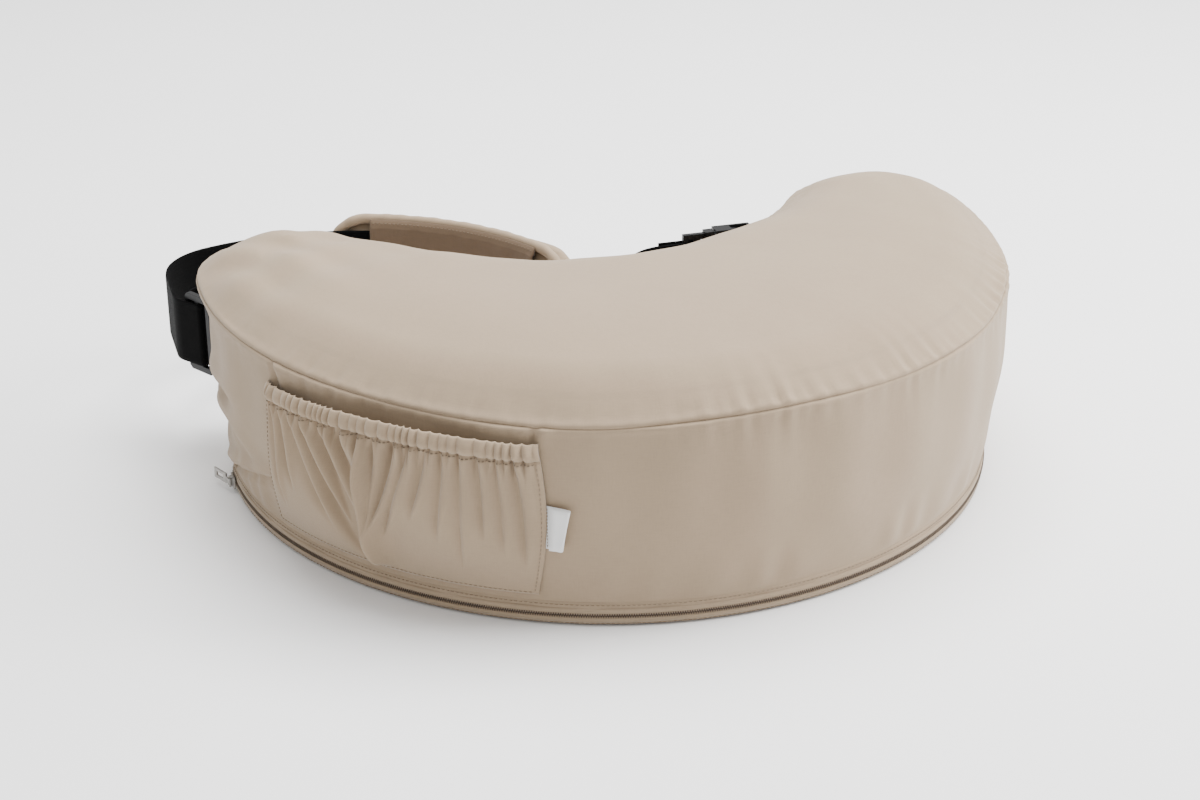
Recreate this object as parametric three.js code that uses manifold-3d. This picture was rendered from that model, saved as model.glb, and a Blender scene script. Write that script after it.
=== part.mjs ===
// Nursing pillow: a thick crescent cushion with a zipped cover, a gathered pocket and a padded back belt.
// Millimetres, +X to the right, +Y towards the wearer, +Z up. The underside's middle is at the origin.
import * as THREE from "three";
import { mergeVertices } from "three/addons/utils/BufferGeometryUtils.js";
import Module from "manifold-3d";

const wasm = await Module();
wasm.setup();

// ---- Overall sizes ----
const SEAM_Z = 150;            // height of the seam between the gusset and the top panel
const CROWN_RISE = 23;         // how far the top panel domes above the seam
const CROWN_WIDTH = 60;        // distance inward over which it domes
const WALL_FOOT_Z = 17;        // the side wall starts to lean out above this height
const WALL_BULGE = 5;          // extra swell of the wall at mid height
const TIP_DEG = 95;            // the front arc runs this far to each side of the front
const SEAM_LEVEL = { radius: 300, centreY: 113, horn: 70, waistY: 79 };
const FOOT_LEVEL = { radius: 286, centreY: 101, horn: 64, waistY: 73 };

// ---- Cloth layers, from the outside in ----
const GAP = 0.3;               // clearance between neighbouring pieces
const COVER_T = 1.5;
const LINER_T = 1.0;
const LINER_DEPTH = COVER_T + GAP;
const CORE_DEPTH = LINER_DEPTH + LINER_T + GAP;
const LINER_SPLIT_Z = 80;
const FOOT_INSET = 13;         // the filling's lower edge is rounded by this much

// ---- Zip round the lower edge ----
const ZIP_DEG = 90.9;
const ZIP_STEPS = 40;
const ZIP_MID_Z = 7.8;
const TAPE_T = 0.8;
const TAPE_SLOT = 2.8;         // open slot between the two tapes
const COIL_SLOT = 1.2;         // open slot between the two coil rows
const COIL_T = 1.8;
const COIL_H = 2.8;
const STOP_DEG = 0.5;
const STOP_CLEAR_DEG = 0.08;
const SLIDER = { deg: -88.4, length: 11, height: 8.8, plate: 1.3, clear: 0.4, web: 0.7, webLength: 3.5 };
const PULL = { length: 19, height: 8, thickness: 1.2, bar: 0.6, knuckle: 1.7, splayDeg: 24, clear: 0.3 };

// ---- Gathered pocket on the front, left of the middle ----
const POCKET = {
  footDeg: [-69, -26],
  seamDeg: [-64.5, -24.6],
  footZ: 23,
  topZ: 134,
  rise: 5,
  swell: 14,
  cloth: 1.2,
  steps: 16,
};
const HEM = { height: 12, wall: 1.2, bore: 2.0 };
const LABEL = { lowZ: 60, highZ: 91, length: 20, thickness: 0.6, fold: 0.8, tiltDeg: 8 };

// ---- Belt ----
const WEB = { width: 50, thickness: 1.6, midZ: 88 };
const WEB_LOW = WEB.midZ - WEB.width / 2;
const WEB_HIGH = WEB.midZ + WEB.width / 2;
const BELT_ARC = { x: -207, y: 113, radius: 196, startDeg: -20, endDeg: 80 };
const BAR_T = 4;               // thickness of every bar the webbing turns round
const BAR_W = 4;
const FOLD_R = BAR_T / 2 + 0.4 + WEB.thickness / 2;
const FOLD_INSET = 0.4;        // the fold's centre sits this far inside the bar's front face
const GLIDE = { x: -294, y: 185, headingDeg: -58.7, slot: 7.5, rim: 4.7, slotH: WEB.width + 2.6, splayDeg: 6, lead: 17 };
const ARC_C = 20;
const INNER_TURN = { radius: 12, headingDeg: 155 };
const LEFT_LANDING = { fromDeg: -14, toDeg: 10 };
const U_TURN_R = 24;
const ARCH_R = 38;
const ARCH_DEG = 74;
const TAIL = 32;

// ---- Side-release buckle on the right ----
const BUCKLE = { height: WEB.width + 17, thickness: 12, wall: 2, mouthX: 120.4, cavityX: 150, endX: 166 };
const WINDOW = { fromX: 134.2, toX: 149 };
const MALE = { fromX: 94, slot: 5, baseX: 112, faceX: 119.6, height: WEB.width + 12, baseT: 8 };
const PRONG = { backX: 120.1, width: 7.4, inner: 12.5, arm: 5.2, tipX: 147.5, tipZ: 22, shoulderZ: 32.3 };
const TONGUE = { toX: 144, height: 8 };
const RIGHT_LANDING = { fromDeg: -6, toDeg: 20 };
const TAB_RUN_X = 170;

// ---- Back pad ----
const PAD = { fromDeg: 9.5, toDeg: 75, lowZ: 26, highZ: 124, thickness: 22, endR: 34, cloth: 1.2, edge: 7 };
const SLEEVE = { fromDeg: 20, toDeg: 64.5, cloth: 1.6, lip: 2, clear: 2.4 };

const mix = (a, b, t) => a + (b - a) * t;
const rad = (deg) => THREE.MathUtils.degToRad(deg);
const sin = (deg) => Math.sin(rad(deg));
const cos = (deg) => Math.cos(rad(deg));
const degOf = (y, x) => THREE.MathUtils.radToDeg(Math.atan2(y, x));
const clamp01 = (t) => Math.min(1, Math.max(0, t));
const range = (count) => Array.from({ length: count }, (_, i) => i);
const spread = (from, to, steps) => range(steps + 1).map((i) => mix(from, to, i / steps));

// ---- Solids ----

// Triangles that close a loop of points, found in the loop's own plane.
function capTriangles(loop) {
  const normal = new THREE.Vector3();
  loop.forEach((p, i) => {
    const q = loop[(i + 1) % loop.length];
    normal.x += (p[1] - q[1]) * (p[2] + q[2]);
    normal.y += (p[2] - q[2]) * (p[0] + q[0]);
    normal.z += (p[0] - q[0]) * (p[1] + q[1]);
  });
  normal.normalize();
  const side = Math.abs(normal.z) < 0.9 ? new THREE.Vector3(0, 0, 1) : new THREE.Vector3(1, 0, 0);
  const across = new THREE.Vector3().crossVectors(side, normal).normalize();
  const along = new THREE.Vector3().crossVectors(normal, across);
  const flat = loop.map(([x, y, z]) => {
    const p = new THREE.Vector3(x, y, z);
    return new THREE.Vector2(p.dot(across), p.dot(along));
  });
  return THREE.ShapeUtils.triangulateShape(flat, []);
}

// A closed surface through a row of equal loops: capped at both ends, or joined back to its start.
function loft(loops, ring = false) {
  const size = loops[0].length;
  const points = loops.flat();
  const faces = [];
  const rows = ring ? loops.length : loops.length - 1;
  for (let r = 0; r < rows; r++) {
    const a = r * size;
    const b = ((r + 1) % loops.length) * size;
    for (let i = 0; i < size; i++) {
      const j = (i + 1) % size;
      faces.push([a + i, a + j, b + j], [a + i, b + j, b + i]);
    }
  }
  if (!ring) {
    const last = (loops.length - 1) * size;
    capTriangles(loops[0]).forEach(([i, j, k]) => faces.push([i, k, j]));
    capTriangles(loops[loops.length - 1]).forEach(([i, j, k]) => faces.push([last + i, last + j, last + k]));
  }
  return closedGeometry(points, faces);
}

// Geometry from points and faces, turned to face outwards.
function closedGeometry(points, faces) {
  const v = points.map((p) => new THREE.Vector3(...p));
  const cross = new THREE.Vector3();
  const volume = faces.reduce((sum, [a, b, c]) => sum + v[a].dot(cross.crossVectors(v[b], v[c])), 0);
  const facing = volume < 0 ? faces.map(([a, b, c]) => [a, c, b]) : faces;
  const geometry = new THREE.BufferGeometry();
  geometry.setAttribute("position", new THREE.Float32BufferAttribute(points.flat(), 3));
  geometry.setIndex(facing.flat());
  geometry.computeVertexNormals();
  return geometry;
}

function solidOf(geometry) {
  const bare = new THREE.BufferGeometry();
  bare.setAttribute("position", geometry.getAttribute("position"));
  bare.setIndex(geometry.index);
  const merged = mergeVertices(bare, 1e-4);
  return new wasm.Manifold(
    new wasm.Mesh({
      numProp: 3,
      vertProperties: new Float32Array(merged.attributes.position.array),
      triVerts: new Uint32Array(merged.index.array),
    }),
  );
}

function geometryOf(solid) {
  const mesh = solid.getMesh();
  const geometry = new THREE.BufferGeometry();
  geometry.setAttribute("position", new THREE.Float32BufferAttribute(mesh.vertProperties, 3));
  geometry.setIndex(Array.from(mesh.triVerts));
  geometry.computeVertexNormals();
  return geometry;
}

// An upright box given by its limits, as a solid for the boolean steps.
function block([x0, x1], [y0, y1], [z0, z1]) {
  const box = new THREE.BoxGeometry(x1 - x0, y1 - y0, z1 - z0);
  box.translate((x0 + x1) / 2, (y0 + y1) / 2, (z0 + z1) / 2);
  return solidOf(box);
}

// A plan outline in X and Z, given a thickness along Y.
function plateXZ(outline, [y0, y1]) {
  return loft([y0, y1].map((y) => outline.map(([x, z]) => [x, y, z])));
}

// ---- The cushion's outline ----

// The arcs of the outline at one height, pushed outwards by an offset.
function level(z, offset) {
  const t = clamp01((z - WALL_FOOT_Z) / (SEAM_Z - WALL_FOOT_Z));
  const out = offset + WALL_BULGE * Math.sin(Math.PI * t);
  const radius = mix(FOOT_LEVEL.radius, SEAM_LEVEL.radius, t);
  const centreY = mix(FOOT_LEVEL.centreY, SEAM_LEVEL.centreY, t);
  const horn = mix(FOOT_LEVEL.horn, SEAM_LEVEL.horn, t);
  const waistY = mix(FOOT_LEVEL.waistY, SEAM_LEVEL.waistY, t);
  const hornX = (radius - horn) * sin(TIP_DEG);
  const hornY = centreY - (radius - horn) * cos(TIP_DEG);
  const drop = waistY - hornY;
  const waist = (hornX ** 2 + drop ** 2 - horn ** 2) / (2 * (horn - drop));
  const waistCentreY = waistY + waist;
  return {
    front: radius + out,
    centreY,
    horn: horn + out,
    hornX,
    hornY,
    waist: waist - out,
    waistCentreY,
    joinDeg: degOf(waistCentreY - hornY, -hornX),
  };
}

// A point of the wall on the front arc, by its angle from the front (left is negative).
function frontPoint(z, deg, offset) {
  const a = level(z, offset);
  return [a.front * sin(deg), a.centreY - a.front * cos(deg), z];
}

// A point of the wall on a horn, by its angle from straight back, towards the left.
function hornPoint(z, side, deg, offset) {
  const a = level(z, offset);
  return [side * a.hornX - a.horn * sin(deg), a.hornY + a.horn * cos(deg), z];
}

// A point of the wall anywhere on the outline.
function wallPoint(z, station, offset) {
  const a = level(z, offset);
  const { arc, at } = station;
  if (arc === "front") return frontPoint(z, at, offset);
  if (arc === "waist") {
    const from = a.joinDeg - 180;
    const deg = mix(from, -180 - from, at);
    return [a.waist * cos(deg), a.waistCentreY + a.waist * sin(deg), z];
  }
  const deg = mix(TIP_DEG - 90, a.joinDeg, at);
  const side = arc === "right" ? 1 : -1;
  return [side * (a.hornX + a.horn * cos(deg)), a.hornY + a.horn * sin(deg), z];
}

// Stations round the outline: front, right horn, waist, left horn.
const FRONT_STEPS = 24;
const HORN_STEPS = 8;
const WAIST_STEPS = 12;
const ZIP_EDGE_DEG = 91;       // the gusset's lower edge steps down from here
const ZIP_END_DEG = 91.6;      // to here
const frontAngles = [
  -TIP_DEG,
  -ZIP_END_DEG,
  ...spread(-ZIP_EDGE_DEG, ZIP_EDGE_DEG, FRONT_STEPS),
  ZIP_END_DEG,
  TIP_DEG,
];
const inner = (steps) => spread(0, 1, steps).slice(1);
const FRONT = frontAngles.map((at) => ({ arc: "front", at }));
const RIGHT = inner(HORN_STEPS).map((at) => ({ arc: "right", at }));
const WAIST = inner(WAIST_STEPS).map((at) => ({ arc: "waist", at }));
const LEFT = inner(HORN_STEPS)
  .map((at) => ({ arc: "left", at: 1 - at }))
  .slice(0, -1);
const OUTLINE = [...FRONT, ...RIGHT, ...WAIST, ...LEFT];

const loopAt = (z, offset) => OUTLINE.map((station) => wallPoint(z, station, offset));

// Heights and insets of the domed top at a depth below the cover's face.
function crown(depth, steps) {
  return spread(0, 1, steps).map((t) => {
    const z = SEAM_Z + GAP + CROWN_RISE * (1 - (1 - t) ** 2) - depth * t;
    return { z, inset: CROWN_WIDTH * t + depth * (1 - t) };
  });
}

const CROWN_STEPS = 4;
const FOOT_PROFILE = [
  { z: 0, inset: FOOT_INSET },
  { z: 4.2, inset: 3.6 },
  { z: 14.5, inset: 3.4 },
  { z: 20, inset: 0 },
];
const loopsOf = (profile) => profile.map(({ z, inset }) => loopAt(z, -inset));
const foot = (depth) => FOOT_PROFILE.map(({ z, inset }) => ({ z: Math.max(z, depth), inset: inset + depth }));
const walls = (depth, heights) => heights.map((z) => ({ z, inset: depth }));

// ---- Cover, liner and filling ----
const CORE_WALLS = [50, 80, 115];
const LOWER_WALLS = [50];
const UPPER_WALLS = [115];
const domeOf = (depth) => crown(depth, CROWN_STEPS).map(({ z, inset }, i) => ({ z: i ? z : z - depth, inset }));

function coreGeometry() {
  return loft(loopsOf([...foot(CORE_DEPTH), ...walls(CORE_DEPTH, CORE_WALLS), ...domeOf(CORE_DEPTH)]));
}

function linerLower() {
  const z = LINER_SPLIT_Z - GAP / 2;
  const side = (depth) => [...foot(depth), ...walls(depth, [...LOWER_WALLS, z])];
  return loft(loopsOf([...side(LINER_DEPTH), ...side(LINER_DEPTH + LINER_T).reverse()]));
}

function linerUpper() {
  const z = LINER_SPLIT_Z + GAP / 2;
  const side = (depth) => [...walls(depth, [z, ...UPPER_WALLS]), ...domeOf(depth)];
  return loft(loopsOf([...side(LINER_DEPTH).reverse(), ...side(LINER_DEPTH + LINER_T)]));
}

function topPanel() {
  return loft(loopsOf([...crown(0, CROWN_STEPS).reverse(), ...crown(COVER_T, CROWN_STEPS)]));
}

function bottomPanel() {
  const rim = [
    { z: 0, inset: 1.2 },
    { z: COVER_T, inset: 0 },
  ];
  return loft(loopsOf(rim));
}

// A wall of cover cloth along a row of stations, with its lower edge given for each of them.
const GUSSET_LEVELS = 6;
function gusset(stations, lowEdge) {
  return loft(
    stations.map((station) => {
      const heights = spread(lowEdge(station), SEAM_Z, GUSSET_LEVELS);
      const outer = heights.map((z) => wallPoint(z, station, 0));
      const lining = heights.map((z) => wallPoint(z, station, -COVER_T)).reverse();
      return [...outer, ...lining];
    }),
  );
}

const SPLIT_STEP = 6;          // the gusset's two lengths meet here on each horn
const ABOVE_BASE = COVER_T + GAP;
const SPLIT_CLEAR = GAP / 150; // the same gap as a share of a horn's arc
const split = SPLIT_STEP / HORN_STEPS;
const overZip = ({ arc, at }) =>
  arc === "front" && Math.abs(at) <= ZIP_EDGE_DEG ? WALL_FOOT_Z + GAP : ABOVE_BASE;
const frontStations = [...LEFT.slice(LEFT.length - SPLIT_STEP), ...FRONT, ...RIGHT.slice(0, SPLIT_STEP)];
const waistStations = [
  { arc: "right", at: split + SPLIT_CLEAR },
  ...RIGHT.slice(SPLIT_STEP),
  ...WAIST,
  ...LEFT.slice(0, LEFT.length - SPLIT_STEP),
  { arc: "left", at: split + SPLIT_CLEAR },
];

// ---- Zip ----
const COIL_DEG = ZIP_DEG - 2 * STOP_DEG;
const zipAngles = (end) => spread(-end, end, ZIP_STEPS);
const footRadius = FOOT_LEVEL.radius;

// A band that follows the lower edge, given by its limits in height and outwards.
function edgeBand(angles, [z0, z1], [in0, out0]) {
  return loft(
    angles.map((deg) => [
      [z0, out0],
      [z1, out0],
      [z1, in0],
      [z0, in0],
    ].map(([z, out]) => {
      const r = footRadius + out;
      return [r * sin(deg), FOOT_LEVEL.centreY - r * cos(deg), z];
    })),
  );
}

const tapeBand = (z0, z1) => edgeBand(zipAngles(ZIP_DEG), [z0, z1], [-TAPE_T, 0]);
const coilBand = (z0) => edgeBand(zipAngles(COIL_DEG), [z0, z0 + COIL_H], [GAP, GAP + COIL_T]);
const COIL_LOW = ZIP_MID_Z - COIL_SLOT / 2 - COIL_H;
const COIL_HIGH = ZIP_MID_Z + COIL_SLOT / 2;
const COIL_FACE = GAP + COIL_T;

function zipStop(side) {
  const from = COIL_DEG + STOP_CLEAR_DEG;
  const angles = [side * from, side * (from + STOP_DEG)];
  return edgeBand(angles, [COIL_LOW, COIL_HIGH + COIL_H], [GAP, COIL_FACE]);
}

// Places a solid drawn at the front of the arc (out along -Y) at an angle round it.
function roundTheEdge(solid, deg) {
  const geometry = geometryOf(solid);
  geometry.translate(0, -footRadius, 0);
  geometry.rotateZ(rad(deg));
  geometry.translate(0, FOOT_LEVEL.centreY, 0);
  return geometry;
}

const PLATE_FACE = COIL_FACE + SLIDER.clear + SLIDER.plate;
const PULL_AXIS_OUT = PLATE_FACE + PULL.knuckle + GAP;

function cylinder(radius, [z0, z1], outward) {
  const geometry = new THREE.CylinderGeometry(radius, radius, z1 - z0, 12);
  geometry.rotateX(Math.PI / 2);
  geometry.translate(0, -outward, (z0 + z1) / 2);
  return solidOf(geometry);
}

function sliderGeometry() {
  const half = SLIDER.length / 2;
  const z0 = ZIP_MID_Z - SLIDER.height / 2;
  const z1 = ZIP_MID_Z + SLIDER.height / 2;
  const behind = TAPE_T + SLIDER.clear;
  const outer = block([-half, half], [-PLATE_FACE, -(PLATE_FACE - SLIDER.plate)], [z0, z1]);
  const back = block([-half, half], [behind, behind + SLIDER.plate], [z0, z1]);
  const web = block(
    [-SLIDER.webLength / 2, SLIDER.webLength / 2],
    [-PLATE_FACE + SLIDER.plate / 2, behind + SLIDER.plate / 2],
    [ZIP_MID_Z - SLIDER.web / 2, ZIP_MID_Z + SLIDER.web / 2],
  );
  const legs = [z0, z1 - PULL.knuckle].map((z) =>
    block([-PULL.bar, PULL.bar], [-PULL_AXIS_OUT - PULL.bar, -PLATE_FACE + 0.3], [z, z + PULL.knuckle]),
  );
  const bar = cylinder(PULL.bar, [z0 + 0.5, z1 - 0.5], PULL_AXIS_OUT);
  return roundTheEdge([back, web, ...legs, bar].reduce((a, b) => a.add(b), outer), SLIDER.deg);
}

function pullGeometry() {
  const half = PULL.height / 2;
  const room = SLIDER.height / 2 - PULL.knuckle - GAP;
  const knuckle = cylinder(PULL.knuckle, [ZIP_MID_Z - room, ZIP_MID_Z + room], 0);
  const neck = block([-5, 0], [-PULL.thickness / 2, PULL.thickness / 2], [ZIP_MID_Z - room, ZIP_MID_Z + room]);
  const tab = block([-PULL.length, -4], [-PULL.thickness / 2, PULL.thickness / 2], [
    ZIP_MID_Z - half + 1,
    ZIP_MID_Z + half + 1,
  ]);
  const slot = block([-PULL.length + 3, -8], [-2, 2], [ZIP_MID_Z - half + 3.4, ZIP_MID_Z + half - 1.4]);
  const bore = cylinder(PULL.bar + PULL.clear, [0, 2 * ZIP_MID_Z], 0);
  const geometry = geometryOf(knuckle.add(neck).add(tab).subtract(slot).subtract(bore));
  geometry.rotateZ(rad(PULL.splayDeg));
  geometry.translate(0, -footRadius - PULL_AXIS_OUT, 0);
  geometry.rotateZ(rad(SLIDER.deg));
  geometry.translate(0, FOOT_LEVEL.centreY, 0);
  return geometry;
}

// ---- Pocket ----
const HEM_T = 2 * HEM.wall + HEM.bore;
const pocketTop = (u) => POCKET.topZ + POCKET.rise * Math.sin(Math.PI * u);
const pocketSwell = (u, v) => {
  const along = Math.sin(Math.PI * u) ** 0.5;
  const up = Math.sin((Math.PI / 2) * Math.min(1, 1.5 * v)) * mix(1, 0.9, v);
  return GAP + 0.2 + POCKET.swell * along * up;
};
const pocketDeg = (u, z) => {
  const t = clamp01((z - WALL_FOOT_Z) / (SEAM_Z - WALL_FOOT_Z));
  const [left, right] = [0, 1].map((side) => mix(POCKET.footDeg[side], POCKET.seamDeg[side], t));
  return mix(left, right, u);
};
const pocketSteps = spread(0, 1, POCKET.steps);
const POCKET_LEVELS = 7;

function pocketPanel() {
  return loft(
    pocketSteps.map((u) => {
      const levels = spread(0, 1, POCKET_LEVELS);
      const topZ = pocketTop(u) - HEM.height - GAP;
      const at = (v, extra) => {
        const z = mix(POCKET.footZ, topZ, v);
        return frontPoint(z, pocketDeg(u, z), pocketSwell(u, v) + extra);
      };
      return [...levels.map((v) => at(v, POCKET.cloth)), ...levels.map((v) => at(v, 0)).reverse()];
    }),
  );
}

// Corners of a band that runs along the pocket's top, inset by a margin all round.
function hemCorners(u, margin) {
  const top = pocketTop(u);
  const near = pocketSwell(u, 1) + margin;
  const far = pocketSwell(u, 1) + HEM_T - margin;
  const low = top - HEM.height + margin;
  const high = top - margin;
  return [
    [low, far],
    [high, far],
    [high, near],
    [low, near],
  ].map(([z, out]) => frontPoint(z, pocketDeg(u, top), out));
}

function pocketHem() {
  const outer = pocketSteps.map((u) => hemCorners(u, 0));
  const bore = pocketSteps.map((u) => hemCorners(u, HEM.wall)).reverse();
  return loft([...outer, ...bore], true);
}

function pocketElastic() {
  return loft(pocketSteps.map((u) => hemCorners(u, HEM.wall + GAP)));
}

// ---- Bands that follow a path in plan ----

// A path in plan, built from straight lengths and turns. Each mark holds a place and a heading.
class PlanPath {
  constructor(x, y, headingDeg) {
    this.marks = [{ x, y, headingDeg }];
  }
  get end() {
    return this.marks[this.marks.length - 1];
  }
  line(length) {
    const { x, y, headingDeg } = this.end;
    this.marks.push({ x: x + length * cos(headingDeg), y: y + length * sin(headingDeg), headingDeg });
    return this;
  }
  // A turn to the left for a positive angle, to the right for a negative one.
  turn(radius, deg, steps) {
    const { x, y, headingDeg } = this.end;
    const side = Math.sign(deg);
    const cx = x - side * radius * sin(headingDeg);
    const cy = y + side * radius * cos(headingDeg);
    spread(0, deg, steps).slice(1).forEach((a) => {
      const h = headingDeg + a;
      this.marks.push({ x: cx + side * radius * sin(h), y: cy - side * radius * cos(h), headingDeg: h });
    });
    return this;
  }
  // A smooth curve to a given place and heading.
  bend(target, reach, steps) {
    const start = this.end;
    const curve = new THREE.CubicBezierCurve(
      new THREE.Vector2(start.x, start.y),
      new THREE.Vector2(start.x + reach * cos(start.headingDeg), start.y + reach * sin(start.headingDeg)),
      new THREE.Vector2(target.x - reach * cos(target.headingDeg), target.y - reach * sin(target.headingDeg)),
      new THREE.Vector2(target.x, target.y),
    );
    inner(steps).forEach((t) => {
      const p = curve.getPoint(t);
      const d = curve.getTangent(t);
      this.marks.push({ x: p.x, y: p.y, headingDeg: degOf(d.y, d.x) });
    });
    return this;
  }
}

// The four corners of an upright band at one mark. lean moves its lower and upper edges to its left.
function bandCorners(mark, thickness, [z0, z1], lean = [0, 0]) {
  const nx = -sin(mark.headingDeg);
  const ny = cos(mark.headingDeg);
  const corner = (side, z, shift) => {
    const out = (side * thickness) / 2 + shift;
    return [mark.x + out * nx, mark.y + out * ny, z];
  };
  return [corner(1, z0, lean[0]), corner(1, z1, lean[1]), corner(-1, z1, lean[1]), corner(-1, z0, lean[0])];
}

const webCorners = (mark, lean) => bandCorners(mark, WEB.thickness, [WEB_LOW, WEB_HIGH], lean);

// Where a band lies on a horn, at the webbing's middle height. dir 1 runs to the left, -1 to the right.
function landingMark(side, deg, offset, dir) {
  const [x, y] = hornPoint(WEB.midZ, side, deg, offset);
  return { x, y, headingDeg: dir > 0 ? 180 + deg : deg };
}

// How far the wall leans from the webbing's middle height to its two edges, to the left of the run.
function landingLean(side, deg, dir, share) {
  const radial = ([x, y]) => x * -sin(deg) + y * cos(deg);
  const mid = radial(hornPoint(WEB.midZ, side, deg, 0));
  return [WEB_LOW, WEB_HIGH].map((z) => -dir * share * (radial(hornPoint(z, side, deg, 0)) - mid));
}

// Marks and leans of a band that leaves a horn and bends to a free mark.
const LIFT_STEPS = 8;
const LANDING_STEPS = 4;
function leaveHorn(side, landing, offset, target, reach) {
  const lying = spread(landing.fromDeg, landing.toDeg, LANDING_STEPS).map((deg) => ({
    mark: landingMark(side, deg, offset, 1),
    lean: landingLean(side, deg, 1, 1),
  }));
  const last = lying[lying.length - 1].mark;
  const lift = new PlanPath(last.x, last.y, last.headingDeg).bend(target, reach, LIFT_STEPS);
  const lifted = lift.marks.slice(1).map((mark, i) => ({
    mark,
    lean: landingLean(side, landing.toDeg, 1, (1 - (i + 1) / LIFT_STEPS) ** 2),
  }));
  return [...lying, ...lifted];
}

// ---- Belt ----
const PATCH = { cloth: 1.2, margin: 4, overDeg: 4 };
const WALL_CROWN = 0.9 * (WEB.width / 50) ** 2; // the wall's swell between the webbing's two edges
const LAND_OFFSET = GAP + PATCH.cloth + GAP + WALL_CROWN + WEB.thickness / 2;
const barFront = BAR_W / 2 - FOLD_INSET;
const glideDir = [cos(GLIDE.headingDeg), sin(GLIDE.headingDeg)];
const BUCKLE_Y = 199.2;
const maleCentreBar = MALE.fromX + BAR_W + MALE.slot + BAR_W / 2;

function beltWebbing() {
  const inHeading = GLIDE.headingDeg - GLIDE.splayDeg;
  const foldX = GLIDE.x + barFront * glideDir[0];
  const foldY = GLIDE.y + barFront * glideDir[1];
  const foldStart = {
    x: foldX - FOLD_R * sin(inHeading),
    y: foldY + FOLD_R * cos(inHeading),
  };
  const innerEnd = {
    x: foldStart.x - GLIDE.lead * cos(inHeading),
    y: foldStart.y - GLIDE.lead * sin(inHeading),
  };
  // The inner layer's turn, followed back from its end to find where it starts.
  const back = new PlanPath(innerEnd.x, innerEnd.y, inHeading + 180);
  back.turn(INNER_TURN.radius, INNER_TURN.headingDeg - inHeading - 360, 1);
  const turnStart = { x: back.end.x, y: back.end.y, headingDeg: INNER_TURN.headingDeg };
  const rows = leaveHorn(-1, LEFT_LANDING, LAND_OFFSET, turnStart, 16);

  const path = new PlanPath(turnStart.x, turnStart.y, INNER_TURN.headingDeg);
  path.turn(INNER_TURN.radius, inHeading + 360 - INNER_TURN.headingDeg, 8).line(GLIDE.lead);
  path.turn(FOLD_R, -(180 - 2 * GLIDE.splayDeg), 8).line(GLIDE.lead);
  path.turn(ARC_C, 90 - path.end.headingDeg, 4);

  // Up past the left horn and into the long arc round the wearer's back.
  const joinX = BELT_ARC.x + BELT_ARC.radius * sin(BELT_ARC.startDeg);
  const joinY = BELT_ARC.y + BELT_ARC.radius * cos(BELT_ARC.startDeg);
  const joinHeading = -BELT_ARC.startDeg;
  const cornerR = (joinX - path.end.x) / (1 - sin(joinHeading));
  path.line(joinY - cornerR * cos(joinHeading) - path.end.y);
  path.turn(cornerR, joinHeading - 90, 7);
  path.turn(BELT_ARC.radius, BELT_ARC.startDeg - BELT_ARC.endDeg, 25);

  // Round the U-turn, over the arch and along to the buckle, where it folds back as a short tail.
  path.turn(U_TURN_R, BELT_ARC.endDeg + ARCH_DEG, 12);
  const rise = BUCKLE_Y - FOLD_R - ARCH_R * (1 - cos(ARCH_DEG)) - path.end.y;
  path.line(rise / sin(ARCH_DEG)).turn(ARCH_R, -ARCH_DEG, 6);
  path.line(maleCentreBar + barFront - path.end.x).turn(FOLD_R, 180, 8).line(TAIL);
  rows.push(...path.marks.slice(1).map((mark) => ({ mark, lean: [0, 0] })));
  return loft(rows.map(({ mark, lean }) => webCorners(mark, lean)));
}

// A cloth patch on a horn under a sewn end.
function anchorPatch(side, landing) {
  const angles = spread(landing.fromDeg - PATCH.overDeg, landing.toDeg - 1, 6);
  const heights = spread(WEB_LOW - PATCH.margin, WEB_HIGH + PATCH.margin, 3);
  return loft(
    angles.map((deg) => {
      const face = heights.map((z) => hornPoint(z, side, deg, GAP + PATCH.cloth));
      const backing = heights.map((z) => hornPoint(z, side, deg, GAP)).reverse();
      return [...face, ...backing];
    }),
  );
}

function triGlide() {
  const width = 3 * BAR_W + 2 * GLIDE.slot;
  const height = GLIDE.slotH + 2 * GLIDE.rim;
  const chamfer = 2.5;
  const outline = [
    [-width / 2 + chamfer, -height / 2],
    [width / 2 - chamfer, -height / 2],
    [width / 2, -height / 2 + chamfer],
    [width / 2, height / 2 - chamfer],
    [width / 2 - chamfer, height / 2],
    [-width / 2 + chamfer, height / 2],
    [-width / 2, height / 2 - chamfer],
    [-width / 2, -height / 2 + chamfer],
  ];
  const frame = solidOf(plateXZ(outline, [-BAR_T / 2, BAR_T / 2]));
  const slots = [-1, 1].map((side) => {
    const mid = (side * (BAR_W + GLIDE.slot)) / 2;
    return block(
      [mid - GLIDE.slot / 2, mid + GLIDE.slot / 2],
      [-BAR_T, BAR_T],
      [-GLIDE.slotH / 2, GLIDE.slotH / 2],
    );
  });
  const geometry = geometryOf(slots.reduce((a, b) => a.subtract(b), frame));
  geometry.rotateZ(rad(GLIDE.headingDeg));
  geometry.translate(GLIDE.x, GLIDE.y, WEB.midZ);
  return geometry;
}

// ---- Buckle ----
const around = (half) => [BUCKLE_Y - half, BUCKLE_Y + half];
const heightAround = (half) => [WEB.midZ - half, WEB.midZ + half];
const CAVITY_HALF = BUCKLE.thickness / 2 - BUCKLE.wall;

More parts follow.
